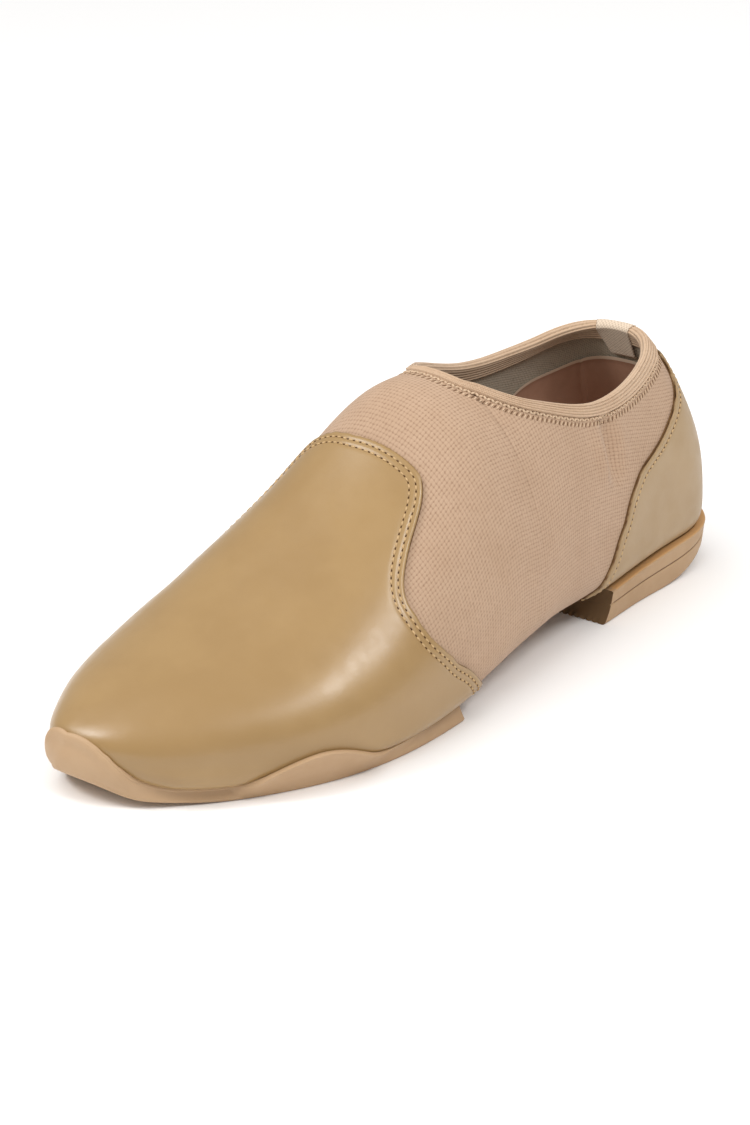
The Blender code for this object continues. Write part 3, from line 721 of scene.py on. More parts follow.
def leatherEdge(gap, look):  # lift of a leather sheet by the distance from its edge
    rise = np.sqrt(1 - (1 - np.clip(gap / look["edgeRound"], 0, 1)) ** 2)
    lift = look["lift"] + look["leather"] * (look["edgeThin"] + (1 - look["edgeThin"]) * rise)
    for row in look["stitchAt"]:
        lift = lift - look["stitchSink"] * np.exp(-((gap - row) / look["stitchHalf"]) ** 2)
    return lift


def makeVamp():
    edge = vampEdgeCurve()["points"]
    near = np.linspace(0, vamp["edgeReach"], vamp["edgeRows"] + 1)
    reach = 1 - np.cos(np.linspace(math.pi / 2, 0, fineSteps["reach"]))
    bm = newSheet()
    for side in (1, -1):
        turns = vampTurns(side)[::side]
        columns = []
        for turn, start in zip(turns, vampBack(turns)):
            fine = shoeLast["length"] - (shoeLast["length"] - start) * reach
            run = runOf(lastPoint(fine, turn, side))
            rest = np.linspace(vamp["edgeReach"], run[-1], vamp["rows"] + 1)[1:]
            columns.append(np.interp(np.concatenate([near, rest]), run, fine))
        along = np.stack(columns, 1)
        turn = np.broadcast_to(turns, along.shape)
        surface = lastPoint(along, turn, side)
        gap = nearest(surface, edge)
        lift = leatherEdge(gap, vamp) + foldLift(vamp["folds"], surface, side)
        addGrid(bm, liftedPoint(along, turn, side, lift), np.stack([gap, along, np.degrees(turn)], -1))
    turnOutwards(bm)
    return finishPiece("vampLeather", bm, ["vampLeather"], "vamp", vamp["leather"])


def turnOutwards(bm):  # faces away from the middle of the shoe
    bm.normal_update()
    middle = Vector(shoeMiddle)
    if sum((f.calc_center_median() - middle).dot(f.normal) * f.calc_area() for f in bm.faces) < 0:
        bmesh.ops.reverse_faces(bm, faces=bm.faces)


def makeEdgeShade(name, curve, look):  # dark strip that shows as a line beside the leather: painted shade, the contact shadow on the fabric at the leather's edge
    lifts = edgeShadeForm["lift"] * np.array(edgeShadeForm["rise"])
    widths = np.linspace(*look["edgeShade"], len(lifts))
    points = np.stack([curvePoints(movedCurve(curve, width), lift) for width, lift in zip(widths, lifts)])
    run = runOf(points[0])
    bm = newSheet()
    addGrid(bm, points, np.stack([np.broadcast_to(run, points.shape[:2])] * 3, -1))
    turnOutwards(bm)
    return finishPiece(name, bm, ["paintedEdgeShade"], wall=edgeShadeForm["wall"])


makeVamp()
makeEdgeShade("vampEdgeShade", vampEdgeCurve(), vamp)


# leather heel piece
counter = {
    "lift": 0.35, "leather": 1.0, "cols": 84, "rows": 64, "marginTurn": 40, "top": 72, "evenAt": 40,
    "level": (11, 11.9, 13.5, 17.5, 22.9, 28, 31.9, 38, 42.7, 46.8, 50.4, 54, 58, 61.7, 65, 68, 72),
    "along": (85, 80, 76.8, 74.7, 70.8, 67.6, 64.2, 60.9, 56.7, 51, 40.8, 32.7, 24.9, 18.2, 13, 9.5, 9),
    "edgeRound": 0.75, "edgeThin": 0.15, "stitchAt": (2.4,), "stitchSink": 0.16, "stitchHalf": 0.55,
    "stitchPitch": 2.0, "edgeShade": (0.2, -1.0), "searchFrom": 60.0, "searchSteps": 60, "searchShare": 0.3,
}
counterLine = curvesOf(counter, "level")["along"]


def counterTurn(along, rise):  # rises share out the height from the foot margin to the top
    foot = lastPoint(along, math.radians(counter["marginTurn"]), 1)[..., 2]
    return turnAt(along, foot + rise * (counter["top"] - foot))


def counterFront(rises):  # where each rise meets the front edge, found in small steps
    along = np.full(np.shape(rises), counter["searchFrom"])
    for _ in range(counter["searchSteps"]):
        level = lastPoint(along, counterTurn(along, rises), 1)[..., 2]
        along = along + (counterLine(level) - along) * counter["searchShare"]
    return along


def counterRises():  # rises that divide the side evenly
    fine = np.linspace(0, 1, fineSteps["rise"])
    run = runOf(lastPoint(counter["evenAt"], counterTurn(counter["evenAt"], fine), 1))
    return np.interp(np.linspace(0, run[-1], counter["rows"] + 1), run, fine)


def counterEdgeCurve():  # up the front edge, round the back under the collar and down again
    rises = np.linspace(0, 1, fineSteps["front"])
    front = counterFront(rises)
    back = front[-1] * np.linspace(1, 0, fineSteps["back"])[1:] ** 2  # closer together towards the back
    along = np.concatenate([front, back])
    turn = np.concatenate([counterTurn(front, rises), counterTurn(back, 1.0)])
    return curveOf(joinSides(*[lastPoint(along, turn, side) for side in (1, -1)]))


def makeCounter():
    edge = counterEdgeCurve()["points"]
    bm = newSheet()
    for side in (1, -1):
        rises = counterRises()[::side]
        along = counterFront(rises) * np.linspace(0, 1, counter["cols"] + 1)[:, None] ** 2
        turn = counterTurn(along, rises)
        gap = nearest(lastPoint(along, turn, side), edge)
        points = liftedPoint(along, turn, side, leatherEdge(gap, counter))
        addGrid(bm, points, np.stack([gap, along, np.degrees(turn)], -1))
    turnOutwards(bm)
    return finishPiece("counterLeather", bm, ["counterLeather"], "counter", counter["leather"])


makeCounter()
makeEdgeShade("counterEdgeShade", counterEdgeCurve(), counter)


# elastic tape folded over the collar edge; "along" is where its face gets narrower towards the throat
tape = {
    "along": (15, 45, 75, 100, 113.5), "depth": (4.4, 4.2, 3.5, 2.7, 2.4), "thick": 0.5, "gap": 0.35,
    "inDepth": 5.2, "outRows": 26, "rimRows": 20, "inRows": 26, "hem": 0.1, "hemRows": 2, "sharp": 60,
    "ridges": (4, 4, 5), "ridgeHeight": 0.32, "ridgeSink": 0.6, "ribWide": 1.1,
}
tapeDepth = curvesOf(tape)["depth"]


def collarLoop():
    start = collarLine["throat"] - collarLine["throatRound"]
    arc = start + collarLine["throatRound"] * np.sin(np.linspace(0, math.pi / 2, fineSteps["throat"]))[1:]
    along = np.concatenate([evenAlong(0, start, fineSteps["collar"]), arc])
    sides = [lastPoint(along, topTurn(along, side), side) for side in (1, -1)]
    return curveOf(joinSides(*sides)[:-1], True)


def tapeRows(loop, look, outDepth, inDepth, extra=0.0):  # from the outer edge over the rim to the inner one
    half, hem, outLift = sock["wall"] / 2, look["hem"], look["gap"] + look["thick"] + extra
    base, normal = onSurface(loop["points"])
    up = -unitOf(np.cross(curveRun(base, True), normal))
    rows, marks = [], []

    def wave(share, part):  # rounded ribs with sharp valleys
        swell = abs(math.sin(math.pi * look["ridges"][part] * share))
        return look["ridgeHeight"] * (swell - look["ridgeSink"])

    def hemRise(rowsFromEdge):  # the tape thins out in a rounded hem
        return hem + (outLift - hem) * (min(rowsFromEdge, look["hemRows"]) / look["hemRows"]) ** 0.5

    for k in range(look["outRows"]):
        share = 1 - k / (look["outRows"] - 1)
        lift = hemRise(k) + wave(share, 0)
        rows.append(curvePoints(movedCurve(loop, outDepth * share), lift))
        marks.append(-share * look["ridges"][0] * look["ribWide"])
    for share in np.linspace(0, 1, look["rimRows"])[1:-1]:
        angle, rib = math.pi * share, wave(share, 1)
        rows.append(base + normal * ((half + outLift + rib) * math.cos(angle) - half)
                    + up * (outLift + hem + rib) * math.sin(angle))
        marks.append(share * look["ridges"][1] * look["ribWide"])
    for k in range(look["inRows"]):
        share = k / (look["inRows"] - 1)
        lift = -2 * half - hemRise(look["inRows"] - 1 - k) - wave(share, 2)
        rows.append(curvePoints(movedCurve(loop, inDepth * share), lift))
        marks.append((look["ridges"][1] + look["ridges"][2] * share) * look["ribWide"])
    return np.stack(rows), np.array(marks)


def makeTape():
    loop = collarLoop()
    rows, marks = tapeRows(loop, tape, tapeDepth(loop["points"][:, 1]), tape["inDepth"])
    rows = np.concatenate([rows, rows[:, :1]], 1)
    run = np.broadcast_to(runOf(rows[tape["outRows"]]), rows.shape[:2])
    lay = np.stack([run, np.broadcast_to(marks[:, None], run.shape), np.zeros_like(run)], -1)
    bm = newSheet()
    addGrid(bm, rows, lay)
    bmesh.ops.remove_doubles(bm, verts=bm.verts, dist=weld)
    bmesh.ops.bridge_loops(bm, edges=[e for e in bm.edges if e.is_boundary])
    bmesh.ops.recalc_face_normals(bm, faces=bm.faces)
    return finishPiece("collarTape", bm, ["tapeElastic"], "collar_binding",
                       sharp=tape["sharp"])


# cut end of the tape, folded over the rim beside the back of the heel on the inner side
tapeEnd = {
    "span": (-6.0, 8.5), "footShare": 0.4, "turnBack": 12.0, "outDepth": 2.2, "inDepth": 10.5, "extra": 0.4,
    "ridges": (3, 5, 12), "ridgeHeight": 0.06, "cols": 16, "wall": 0.4,
}


def makeTapeEnd():
    loop = collarLoop()
    flat = dict(tape, ridgeHeight=tapeEnd["ridgeHeight"], ridges=tapeEnd["ridges"])
    rows, marks = tapeRows(loop, flat, tapeEnd["outDepth"], tapeEnd["inDepth"], tapeEnd["extra"])
    shift = round(tapeEnd["turnBack"] / surfaceLook["gap"])
    rows = np.roll(rows, -shift, 1)  # starts a little way round the outer side
    run = runOf(rows[tape["outRows"]])
    back = np.argmax(-rows[tape["outRows"], :, 1])
    fromBack = (run[back] - run)[::-1]
    low, high = tapeEnd["span"]
    inner = np.clip((np.arange(len(rows)) - len(rows) + tape["inRows"]) / tape["inRows"], 0, 1)
    narrowing = (1 - tapeEnd["footShare"] * inner)[:, None]
    spans = low + (high - low) * narrowing * sharesFor(1, tapeEnd["cols"])
    points = np.stack([spotsAt(row[::-1], fromBack, span) for span, row in zip(spans, rows)])
    lay = np.stack([spans + marks[:, None], spans - marks[:, None], np.zeros_like(spans)], -1)
    bm = newSheet()
    addGrid(bm, points, lay)
    bm.normal_update()
    if sum(f.normal.z * f.calc_area() for f in bm.faces) < 0:
        bmesh.ops.reverse_faces(bm, faces=bm.faces)
    return finishPiece("tapeEnd", bm, ["tapeEndPaintedLight"], wall=tapeEnd["wall"])


makeTape()
makeTapeEnd()


# rubber cup under the forefoot: levels of its wavy rim on each side, then its way over the toe tip
forefoot = {
    "lift": 1.25, "footLift": 3.5, "rear": 148, "rearStations": 26, "toeStations": 90, "leastTurn": 46,
    "along": (148, 165, 180, 190, 198, 205, 211, 217, 224, 232, 236, 240.5, 244.5, 248),
    "medial": (6, 6.5, 8, 11, 13.4, 14.2, 13.5, 11.4, 8.4, 6.6, 7, 9.6, 14, 17.5),
    "lateral": (6, 6.2, 6.5, 7.9, 11, 12.2, 11.1, 9, 6.6, 5.6, 5.8, 10.2, 15, 17.5),
    "edge": 0.9, "cornerRound": 3.0, "cornerLean": 1.8, "cornerPull": 0.8, "rimLeast": 42,
    "noseSpan": (240, 247), "noseOut": 1.0, "noseTall": 3.2, "noseBow": 0.6,
    "noseEdge": 3.0, "noseEdgeFrom": 241,
    "bead": 0.75, "beadTall": 1.1, "featherTall": 0.4, "beadProud": 0.3, "beadSpan": (183, 190, 220, 227),
    "bow": -0.12, "cover": 1.75, "rearCrowd": 1.6, "insideShare": 0.97, "sharp": 40,
    "treadCols": 10, "edgeCols": 9, "wallCols": 8, "noseCols": 6, "beadCols": 11, "insideCols": 9,
}
toeRim = {
    "station": (236, 238, 240, 241.5, 242.6, 243.6, 245, 246.2, 247, 247.5, 247.85, 248),
    "along": (236, 238, 240, 241.5, 242.6, 243.6, 245, 246.3, 246.8, 247.1, 247.3, 247.5),
    "turn": (42, 42.3, 43.5, 46.5, 53, 63, 80, 100, 126, 150, 166, 180),
}
rimLift = {
    "along": (148, 172, 182, 190, 200, 215, 226, 236, 248),
    "lift": (1.75, 1.75, 2.1, 3, 3.2, 3.1, 3.2, 3.3, 2.05),
}
treadLine = {"along": (148, 182, 216, 228, 238, 244, 248), "level": (0, 0, 0, 0.3, 1.7, 3.7, 6.9)}
waveCurve = curvesOf(forefoot)
treadLevel = curvesOf(treadLine)["level"]
rimOut = curvesOf(rimLift)["lift"]


def roundedStations(reach, power, count):
    angles = np.linspace(0, math.pi / 2, count + 1)
    return reach * (1 - np.maximum(np.cos(angles), 0) ** (2 / power))


def softStep(value, low, high):
    share = np.clip((value - low) / (high - low), 0, 1)
    return share * share * (3 - 2 * share)


def keptOut(points, least):  # moved out to at least this far from the last, so the leather stays covered
    spots, normals = onSurface(points)
    depth = np.sum((points - spots) * normals, -1, keepdims=True)
    return points + normals * np.maximum(least - depth, 0)


def rimPlace(stations, side):  # along and turn of the wavy rim, which runs over the toe tip at the front
    level = turnAt(stations, bySide(waveCurve, stations, side))
    level = np.clip(level, math.radians(forefoot["rimLeast"]), math.pi / 2)
    beforeToe = stations < toeRim["station"][0]
    turn = np.where(beforeToe, level, np.radians(np.interp(stations, toeRim["station"], toeRim["turn"])))
    along = np.where(beforeToe, stations, np.interp(stations, toeRim["station"], toeRim["along"]))
    return along, turn


def forefootProfile(stations, side):  # corners of the tread, wall with its rim, and the hidden inside
    look, least = forefoot, math.radians(forefoot["leastTurn"])
    corner = np.clip(1 - (stations - look["rear"]) / look["cornerRound"], 0, 1)
    pull = (look["cornerRound"] * (1 - np.sqrt(1 - corner ** 2)) * look["cornerPull"])[:, None]
    flat = unitOf(outwardAt(stations, least, side) * flatWay)
    foot = liftedPoint(stations, least, side, look["footLift"]) - flat * pull
    foot[:, 1] += look["cornerLean"] * corner ** 2
    foot[:, 2] = np.maximum(treadLevel(stations), 0)
    rimAlong, rimTurn = rimPlace(stations, side)
    normal = outwardAt(rimAlong, rimTurn, side)
    sideways = unitOf(normal * flatWay)
    rim = liftedPoint(rimAlong, rimTurn, side, rimOut(stations)) - sideways * pull
    inner = liftedPoint(rimAlong, rimTurn, side, look["lift"]) - sideways * pull
    back = unitOf(rim - foot)
    up = unitOf(back - normal * np.sum(back * normal, -1, keepdims=True))
    spans = look["beadSpan"]
    lip = (softStep(stations, *spans[:2]) * (1 - softStep(stations, *spans[2:])))[:, None]
    bead = look["featherTall"] + (look["bead"] - look["featherTall"]) * lip
    half = np.linalg.norm(rim - inner, axis=-1, keepdims=True) / 2
    beadBase = rim - up * bead
    nose = softStep(stations, *look["noseSpan"])[:, None]  # a full shoulder round the toe tip
    noseOut, noseDown = flat * look["noseOut"] * nose, upWay * look["noseTall"] * nose
    toEdge = softStep(stations, look["noseEdgeFrom"], shoeLast["length"])[:, None]
    edge = look["edge"] + (look["noseEdge"] - look["edge"]) * toEdge
    wall = []
    for angle in np.linspace(0, math.pi / 2, look["edgeCols"]):
        wall.append(foot - flat * edge * (1 - math.sin(angle)) + upWay * edge * (1 - math.cos(angle)))
    raised = wall[-1]
    shoulder = beadBase + noseOut - noseDown
    bow = look["bow"] + look["noseBow"] * nose
    for share in np.linspace(0, 1, look["wallCols"])[1:]:
        row = raised + (shoulder - raised) * share + flat * bow * math.sin(math.pi * share)
        wall.append(keptOut(row, look["cover"]) if share < 1 else row)
    for angle in np.linspace(0, math.pi / 2, look["noseCols"])[1:]:
        wall.append(beadBase + noseOut * math.cos(angle) - noseDown * (1 - math.sin(angle)))
    corners, wall = wall[0], wall[1:]
    for angle in np.linspace(0, math.pi, look["beadCols"])[1:]:
        proud = half + look["beadProud"] * lip * max(math.sin(2 * angle), 0)
        tall = bead * math.sin(angle) * look["beadTall"]
        wall.append((rim + inner) / 2 - up * bead + normal * proud * math.cos(angle) + up * tall)
    inside = []
    for share in np.linspace(1, 0, look["insideCols"]):
        along = stations + (rimAlong - stations) * share
        inside.append(liftedPoint(along, rimTurn * share * look["insideShare"], side, look["lift"]))
    return corners, wall, inside


def makeForefoot():
    look = forefoot
    fromTip = roundedStations(shoeLast["toeReach"], shoeLast["toePower"], look["toeStations"])
    toe = shoeLast["length"] - fromTip[::-1]
    crowded = sharesFor(1, look["rearStations"])[:-1] ** look["rearCrowd"]
    rear = look["rear"] + (toe[0] - look["rear"]) * crowded
    stations = np.concatenate([rear, toe])
    parts = {side: forefootProfile(stations, side) for side in (1, -1)}
    middle = (parts[1][0] + parts[-1][0]) / 2
    insideMiddle = (parts[1][2][-1] + parts[-1][2][-1]) / 2
    bm = newSheet()
    for side in (1, -1):
        corners, wall, inside = parts[side]
        cols = [middle + (corners - middle) * share for share in np.linspace(0, 1, look["treadCols"])]
        points = np.stack(cols + wall + inside[:-1] + [insideMiddle], 1)[:, ::side]
        run = runOf(points, 1)
        ahead = np.broadcast_to(stations[:, None], run.shape)
        addGrid(bm, points, np.stack([ahead, run, np.zeros_like(run)], -1))
    bmesh.ops.remove_doubles(bm, verts=bm.verts, dist=weld)
    bmesh.ops.edgeloop_fill(bm, edges=[e for e in bm.edges if e.is_boundary])
    bmesh.ops.recalc_face_normals(bm, faces=bm.faces)
    return finishPiece("forefootRubber", bm, ["soleRubber"], "forefoot_sole",
                       sharp=look["sharp"])


makeForefoot()


# rubber heel block
heelBlock = {
    "lift": 3.6, "cupLift": 1.6, "taper": 0.8, "head": 69.0, "foot": 72.5,
    "backStations": 26, "sideStations": 20, "across": 150,
    "toothPitch": 2.25, "toothDepth": 0.75, "toothHalf": 0.6, "toothMargin": 2.2,
    "edge": 0.8, "backEdge": 2.4, "groove": 0.4, "grooveAt": 0.575, "grooveWide": 0.025, "lip": 0.15,
    "crestAt": 0.95, "crestRound": 0.5, "flare": 2.2, "roll": 7.5, "rollReach": 40.0, "toothFade": 2.0,
    "topFlat": 2.5, "noMark": 99.0, "sharp": 40,
    "along": (0, 25, 50, 75), "level": (16.2, 15.8, 14.4, 13.0),
    "rows": ((0, 0.08, 6), (0.08, 0.3, 6), (0.3, 0.52, 5), (0.52, 0.63, 12), (0.63, 0.9, 5), (0.9, 1, 7)),
}
heelLevel = curvesOf(heelBlock)["level"]


def heelSide(stations, side, shares):  # rows of points from the floor up to the top edge
    look = heelBlock
    turn = turnAt(stations, heelLevel(stations))
    top = liftedPoint(stations, turn, side, look["lift"])
    level = unitOf(outwardAt(stations, turn, side) * flatWay)
    foot = top - level * look["taper"]
    reach = foot[:, 1] * look["foot"] / look["head"] / look["rollReach"]
    foot[:, 2] = look["roll"] * np.clip(1 - reach ** 2, 0, 1) ** 3
    edge = look["edge"] + (look["backEdge"] - look["edge"]) * np.clip(1 - reach, 0, 1)
    rows = []
    for share in shares:
        point = foot + (top - foot) * share
        height = point[:, 2] - foot[:, 2]
        low = edge * (1 - np.sqrt(1 - np.clip(1 - height / edge, 0, 1) ** 2))
        groove = look["groove"] * math.exp(-((share - look["grooveAt"]) / look["grooveWide"]) ** 2)
        overCrest = (share - look["crestAt"]) / (1 - look["crestAt"])
        lip = look["lip"] * math.exp(-overCrest ** 2)
        crest = look["crestRound"] * (1 - math.sqrt(1 - min(max(overCrest, 0), 1) ** 2))
        point = point - level * (low + groove - lip + crest)[:, None]
        point[:, 1] = point[:, 1] * (1 + (look["foot"] / look["head"] - 1) * (1 - share) ** look["flare"])
        rows.append(point)
    return np.stack(rows, 1), turn


def toothLevel(x, low, high):  # ribs that run the length of the heel
    look = heelBlock
    phase = np.abs((x / look["toothPitch"] + 0.5) % 1 - 0.5) * look["toothPitch"]
    cut = np.clip(1 - phase / look["toothHalf"], 0, 1) * look["toothDepth"]
    margin = np.clip(np.minimum(np.abs(x - low), np.abs(x - high)) / look["toothMargin"] - 0.5, 0, 1)
    return cut * margin


def makeHeel():
    look = heelBlock
    shares = np.unique(np.concatenate([np.linspace(*span) for span in look["rows"]]))
    back = roundedStations(shoeLast["heelReach"], shoeLast["heelPower"], look["backStations"])
    stations = np.concatenate([back, np.linspace(back[-1], look["head"], look["sideStations"] + 1)[1:]])
    lateral, turn = heelSide(stations, 1, shares)
    medial, _ = heelSide(stations, -1, shares)
    across = sharesFor(1, look["across"])
    bm = newSheet()
    for points, side in ((lateral, 1), (medial, -1)):  # lay: way below the top edge, and from the groove, which gets painted shade
        height = points[:, -1:, 2] - points[:, :1, 2]
        marks = [height * (1 - shares), height * np.abs(shares - look["grooveAt"]), height + 0 * shares]
        addGrid(bm, points[:, ::side], np.stack(marks, -1)[:, ::side])
    spread = lateral[:, :1] + (medial[:, :1] - lateral[:, :1]) * across[None, :, None]
    tread = spread.copy()
    tread[..., 2] += toothLevel(spread[..., 0], lateral[:, :1, 0], medial[:, :1, 0])
    addGrid(bm, tread[:, ::-1], np.full(tread.shape, look["noMark"]))
    cup = lateral[:, -1:] + (medial[:, -1:] - lateral[:, -1:]) * across[None, :, None]
    down = np.linspace(1, 0, fineSteps["cup"])
    for i, station in enumerate(stations):  # the cup follows the underside of the upper
        curve = []
        for side, part in ((1, down), (-1, down[-2::-1])):
            curve.append(liftedPoint(station, turn[i] * part, side, look["cupLift"]))
        curve = np.concatenate(curve)
        order = np.argsort(curve[:, 0])
        sunk = np.interp(cup[i, :, 0], curve[order, 0], curve[order, 2])
        edge = np.minimum(across, 1 - across) * np.linalg.norm(cup[i, 0] - cup[i, -1])
        cup[i, :, 2] = np.where(edge < look["topFlat"], cup[i, :, 2], np.minimum(cup[i, :, 2], sunk))
    addGrid(bm, cup, np.broadcast_to([0.0, look["noMark"], 0.0], cup.shape))
    face = lateral[-1][:, None] + (medial[-1] - lateral[-1])[:, None] * across[None, :, None]
    tall = lateral[-1][:, 2] / lateral[-1][-1, 2]
    rise = cup[-1, :, 2] * tall[:, None]
    fade = np.clip(1 - rise / look["toothFade"], 0, 1)  # the teeth fade out just above the floor
    face[..., 2] = rise + tread[-1, :, 2] * fade
    inFront = set(addGrid(bm, face, np.full(face.shape, look["noMark"])))
    # the breast faces take the darker finish, painted shade
    for f in bm.faces:
        if all(v in inFront for v in f.verts):
            f.material_index = 1
    bmesh.ops.remove_doubles(bm, verts=bm.verts, dist=weld)
    bmesh.ops.recalc_face_normals(bm, faces=bm.faces)
    return finishPiece("heelRubber", bm, ["heelRubber", "breastPaintedShade"], "heel", sharp=look["sharp"])


makeHeel()


# thin sheet on the floor of the shoe, and the lining round the heel inside
insole = {"lift": -2.3, "thick": 2.0, "rise": 3.0, "rows": 120, "cols": 40, "ends": (4, 244)}


def makeInsole():
    rowsAlong = evenAlong(*insole["ends"], insole["rows"])
    high = turnAt(rowsAlong, levelsAt(rowsAlong)[0] + insole["rise"])[:, None]
    bm = newSheet()
    for side in (1, -1):
        turn = evenTurns(rowsAlong, side, 0, high, sharesFor(side, insole["cols"]))[0]
        along = np.broadcast_to(rowsAlong[:, None], turn.shape)
        points = liftedPoint(along, turn, side, insole["lift"])
        addGrid(bm, points, np.stack([along, points[..., 0], np.zeros_like(along)], -1))
    return finishPiece("insoleSheet", bm, ["insoleCloth"], "insole", insole["thick"])


heelLining = {
    "lift": -2.05, "thick": 0.8, "rows": 110, "cols": 44, "reach": 82, "foot": 19.0,
    "along": (0, 2.3, 7.6, 17.5, 34.8, 50, 65, 82), "top": (67, 65.6, 62.5, 59.6, 56.7, 48, 36, 22),
    "seamAt": 3.8, "seamHalf": 0.8, "seamRise": 0.45, "fold": 1.5, "foldRise": 0.35, "foldFull": 1.4,
}
liningTop = curvesOf(heelLining)["top"]


def makeHeelLining():
    look = heelLining
    rowsAlong = evenAlong(0, look["reach"], look["rows"])
    low = turnAt(rowsAlong, look["foot"])[:, None]
    high = turnAt(rowsAlong, liningTop(rowsAlong))[:, None]
    fromSeam = np.interp(rowsAlong, planFine, planRun) - np.interp(look["seamAt"], planFine, planRun)
    seam = look["seamRise"] * np.exp(-(fromSeam / look["seamHalf"]) ** 2)[:, None]
    bm = newSheet()
    for side in (1, -1):
        shares = sharesFor(side, look["cols"])
        turn, girth = evenTurns(rowsAlong, side, low, high, shares)
        along = np.broadcast_to(rowsAlong[:, None], turn.shape)
        gap = girth * (1 - shares)  # distance below the folded top edge
        fold = look["foldRise"] * np.clip(look["foldFull"] - gap / look["fold"], 0, 1) ** 0.5
        points = liftedPoint(along, turn, side, look["lift"] - fold - seam)
        addGrid(bm, points, np.stack([gap, along, np.zeros_like(along)], -1))
    bmesh.ops.reverse_faces(bm, faces=bm.faces)
    return finishPiece("heelLining", bm, ["heelLiningSuede"])


makeInsole()
makeHeelLining()


# stitches: pale thread with a dark bead of painted shade at each needle hole, joined into one mesh for each
# seam
beadForm = {"around": 8, "tall": 5, "ahead": 0.2}


def seamFrames(curve, lift, pitch, start):  # spot, way, side and rise of each bead along a seam
    spots, normals = onSurface(curve["points"])
    points = spots + normals * np.broadcast_to(lift, len(spots))[:, None]
    if curve["closed"]:
        points, normals = np.concatenate([points, points[:1]]), np.concatenate([normals, normals[:1]])
    run = runOf(points)
    count = int(run[-1] // pitch)
    at = (np.arange(count) + start) * run[-1] / count
    spot = spotsAt(points, run, at)
    ahead = toShoe(spotsAt(points, run, at + beadForm["ahead"]))
    above = toShoe(spot + spotsAt(normals, run, at))
    spot = toShoe(spot)
    rise = unitOf(above - spot)
    side = unitOf(np.cross(rise, unitOf(ahead - spot)))
    return spot, unitOf(np.cross(side, rise)), side, rise


def beadPlaces(seam, mark):  # one matrix for each bead, leaning to alternate sides where it swaps
    lift = seam["lift"] + mark["rise"]
    spot, way, side, rise = seamFrames(seam["curve"], lift, seam["pitch"], mark["start"])
    swap = 1 - 2 * (np.arange(len(spot)) % 2) * mark["swap"]
    lean = (math.radians(mark["lean"]) * swap)[:, None]
    turned = way * np.cos(lean) + side * np.sin(lean)
    beside = side * np.cos(lean) - way * np.sin(lean)
    places = np.tile(np.eye(4), (len(spot), 1, 1))
    for k, (axis, size) in enumerate(zip((turned, beside, rise), mark["size"])):
        places[:, :3, k] = axis * size * mm
    places[:, :3, 3] = spot
    return [Matrix(place) for place in places]


def unitBead(finish):
    bm = bmesh.new()
    bmesh.ops.create_uvsphere(bm, u_segments=beadForm["around"], v_segments=beadForm["tall"], radius=1)
    for face in bm.faces:
        face.material_index = finish
    bead = bpy.data.meshes.new("bead")
    bm.to_mesh(bead)
    bm.free()
    return bead


def makeStitches(name, seams, finishes):
    bm = bmesh.new()
    for seam in seams:
        for mark in seam["marks"]:
            bead = unitBead(mark["finish"])
            for place in beadPlaces(seam, mark):
                placed = bead.copy()
                placed.transform(place)
                bm.from_mesh(placed)
                bpy.data.meshes.remove(placed)
            bpy.data.meshes.remove(bead)
    mesh = bpy.data.meshes.new(name)
    bm.to_mesh(mesh)
    bm.free()
    for finish in finishes:
        mesh.materials.append(finishNamed[finish])
    mesh.shade_smooth()
    piece = addObject(name, mesh)
    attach(piece, "root")
    print("made", name, len(mesh.polygons), "faces")
    return piece


leatherSeam = {"pitch": 2.3, "marks": (
    {"finish": 0, "start": 0.5, "size": (0.75, 0.33, 0.30), "rise": 0.04, "lean": 0, "swap": 0},
    # dark bead at the needle hole, painted shade
    {"finish": 1, "start": 0.0, "size": (0.42, 0.25, 0.14), "rise": 0.03, "lean": 0, "swap": 0},
)}
collarBraid = {"pitch": 1.25, "reach": 0.6, "marks": (
    {"finish": 0, "start": 0.5, "size": (0.8, 0.42, 0.32), "rise": 0.08, "lean": 38, "swap": 1},
    {"finish": 1, "start": 0.0, "size": (0.36, 0.55, 0.14), "rise": 0.0, "lean": 0, "swap": 0},
)}
collarDashes = {"pitch": 1.8, "reach": 2.2, "marks": (
    # dark slanted dash: painted shade
    {"finish": 1, "start": 0.5, "size": (0.9, 0.27, 0.18), "rise": 0.0, "lean": 62, "swap": 0},
    {"finish": 0, "start": 0.0, "size": (0.8, 0.25, 0.2), "rise": 0.0, "lean": 62, "swap": 0},
)}


def leatherRows(look, edge, way, pitch):
    top = look["lift"] + look["leather"] - look["stitchSink"]
    seam = dict(leatherSeam, pitch=pitch, lift=top)
    return [dict(seam, curve=movedCurve(edge, way * row)) for row in look["stitchAt"]]


def collarRows():
    loop = collarLoop()
    depth = tapeDepth(loop["points"][:, 1])
    rows = []
    for seam in (collarBraid, collarDashes):
        curve = movedCurve(loop, depth + seam["reach"])
        folds = [foldLift(sock["folds"], curve["points"], side) for side in (1, -1)]
        rows.append(dict(seam, curve=curve, lift=np.where(curve["points"][:, 0] > 0, *folds)))
    return rows


def makeSeams():
    vampRows = leatherRows(vamp, vampEdgeCurve(), 1, leatherSeam["pitch"])
    makeStitches("vampStitches", vampRows, ["paleThread", "needleHoleShade"])
    counterRows = leatherRows(counter, counterEdgeCurve(), -1, counter["stitchPitch"])
    makeStitches("counterStitches", counterRows, ["paleThread", "needleHoleShade"])
    makeStitches("collarStitches", collarRows(), ["collarThread", "collarDashShade"])


makeSeams()


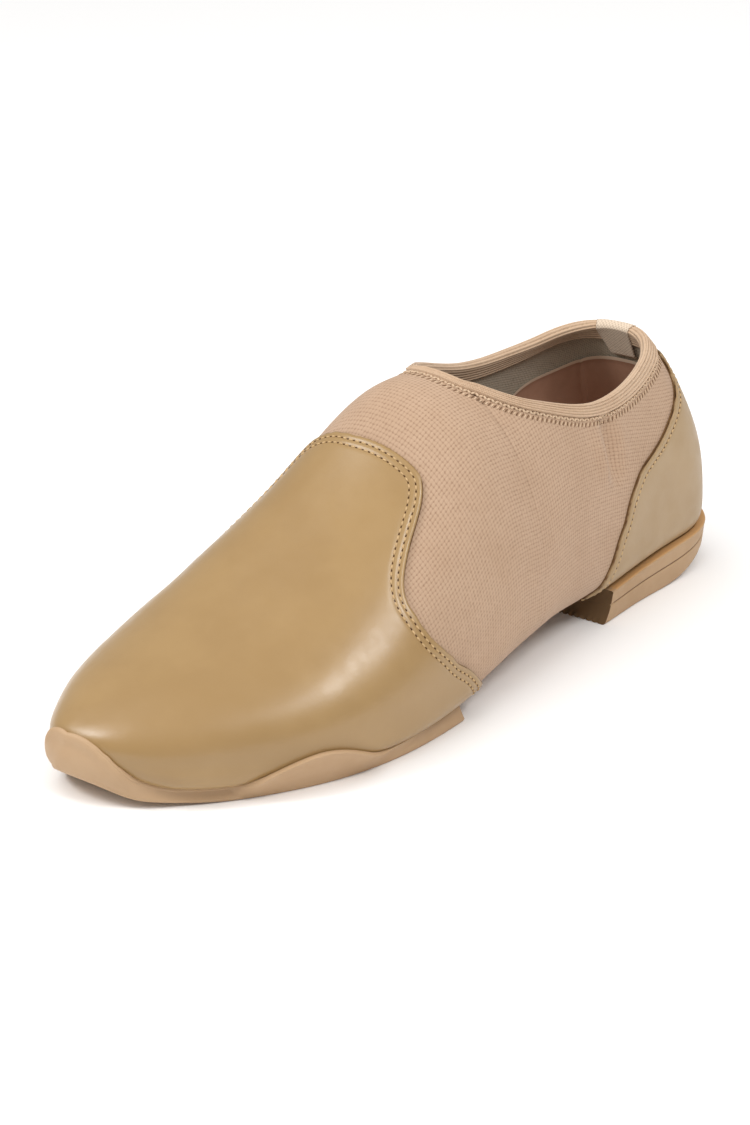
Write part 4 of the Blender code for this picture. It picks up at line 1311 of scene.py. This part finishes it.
# floor, light and camera
stageLook = {
    "floor": rgb(252, 251, 250), "roughness": 0.9, "specular": 0.1, "size": 40.0,
    "world": (1.0, 1.0, 1.0, 1.0), "worldStrength": 0.42,
}
sky = {"name": "sky", "azimuth": -20, "elevation": 74, "distance": 0.0, "power": 1.65, "spread": 70}
softboxes = (
    {"name": "rightSoftbox", "azimuth": 92, "elevation": 52, "distance": 1.1,
     "power": 4.6, "size": (0.38, 0.3)},
    {"name": "leftSoftbox", "azimuth": -35, "elevation": 46, "distance": 1.2,
     "power": 4.3, "size": (0.3, 0.24)},
)
cameraLook = {
    "target": (0.001905, 0.00054, 0.040), "azimuth": 44.3, "elevation": 22.8, "roll": -2.1, "distance": 0.725,
    "aim": (-0.0072, -0.0081, 0.0325), "lens": 77.5, "sensor": 36, "nearest": 0.01,
}


def directionOf(azimuth, elevation):
    a, e = math.radians(azimuth), math.radians(elevation)
    return Vector((math.sin(a) * math.cos(e), -math.cos(a) * math.cos(e), math.sin(e)))


def addLamp(look, kind):  # turned towards the shoe
    data = bpy.data.lights.new(look["name"], kind)
    data.energy = look["power"]
    lamp = addObject(look["name"], data)
    away = directionOf(look["azimuth"], look["elevation"])
    lamp.location = away * look["distance"]
    lamp.rotation_mode = "QUATERNION"
    lamp.rotation_quaternion = (-away).to_track_quat("-Z", "Y")
    return lamp


def makeFloor():
    bm = bmesh.new()
    bmesh.ops.create_grid(bm, x_segments=2, y_segments=2, size=stageLook["size"])
    mesh = bpy.data.meshes.new("floor")
    bm.to_mesh(mesh)
    bm.free()
    finish = bpy.data.materials.new("floorPaper")
    finish.use_nodes = True
    shader = finish.node_tree.nodes["Principled BSDF"]
    shader.inputs["Base Color"].default_value = stageLook["floor"]
    shader.inputs["Roughness"].default_value = stageLook["roughness"]
    shader.inputs["Specular IOR Level"].default_value = stageLook["specular"]
    mesh.materials.append(finish)
    floor = addObject("floor", mesh)


def makeLight():
    world = bpy.data.worlds.new("studio")
    world.use_nodes = True
    background = world.node_tree.nodes["Background"]
    background.inputs["Color"].default_value = stageLook["world"]
    background.inputs["Strength"].default_value = stageLook["worldStrength"]
    bpy.context.scene.world = world
    lamp = addLamp(sky, "SUN")
    lamp.data.angle = math.radians(sky["spread"])
    lamp.visible_glossy = False  # the softboxes alone make the highlights
    for look in softboxes:
        lamp = addLamp(look, "AREA")
        lamp.data.shape = "RECTANGLE"
        lamp.data.size, lamp.data.size_y = look["size"]
    bpy.context.scene.view_settings.view_transform = "Standard"


def makeCamera():
    look = cameraLook
    eye = Vector(look["target"]) + directionOf(look["azimuth"], look["elevation"]) * look["distance"]
    back = (eye - Vector(look["aim"])).normalized()
    right = Vector((0, 0, 1)).cross(back).normalized()
    up = back.cross(right)
    roll = math.radians(look["roll"])
    right, up = right * math.cos(roll) + up * math.sin(roll), up * math.cos(roll) - right * math.sin(roll)
    data = bpy.data.cameras.new("camera")
    data.lens = look["lens"]
    data.sensor_width = look["sensor"]
    data.clip_start = look["nearest"]
    camera = addObject("camera", data)
    camera.matrix_world = Matrix((right, up, back)).transposed().to_4x4()
    camera.location = eye
    bpy.context.scene.camera = camera


makeFloor()
makeLight()
makeCamera()
print("stage and camera ready")
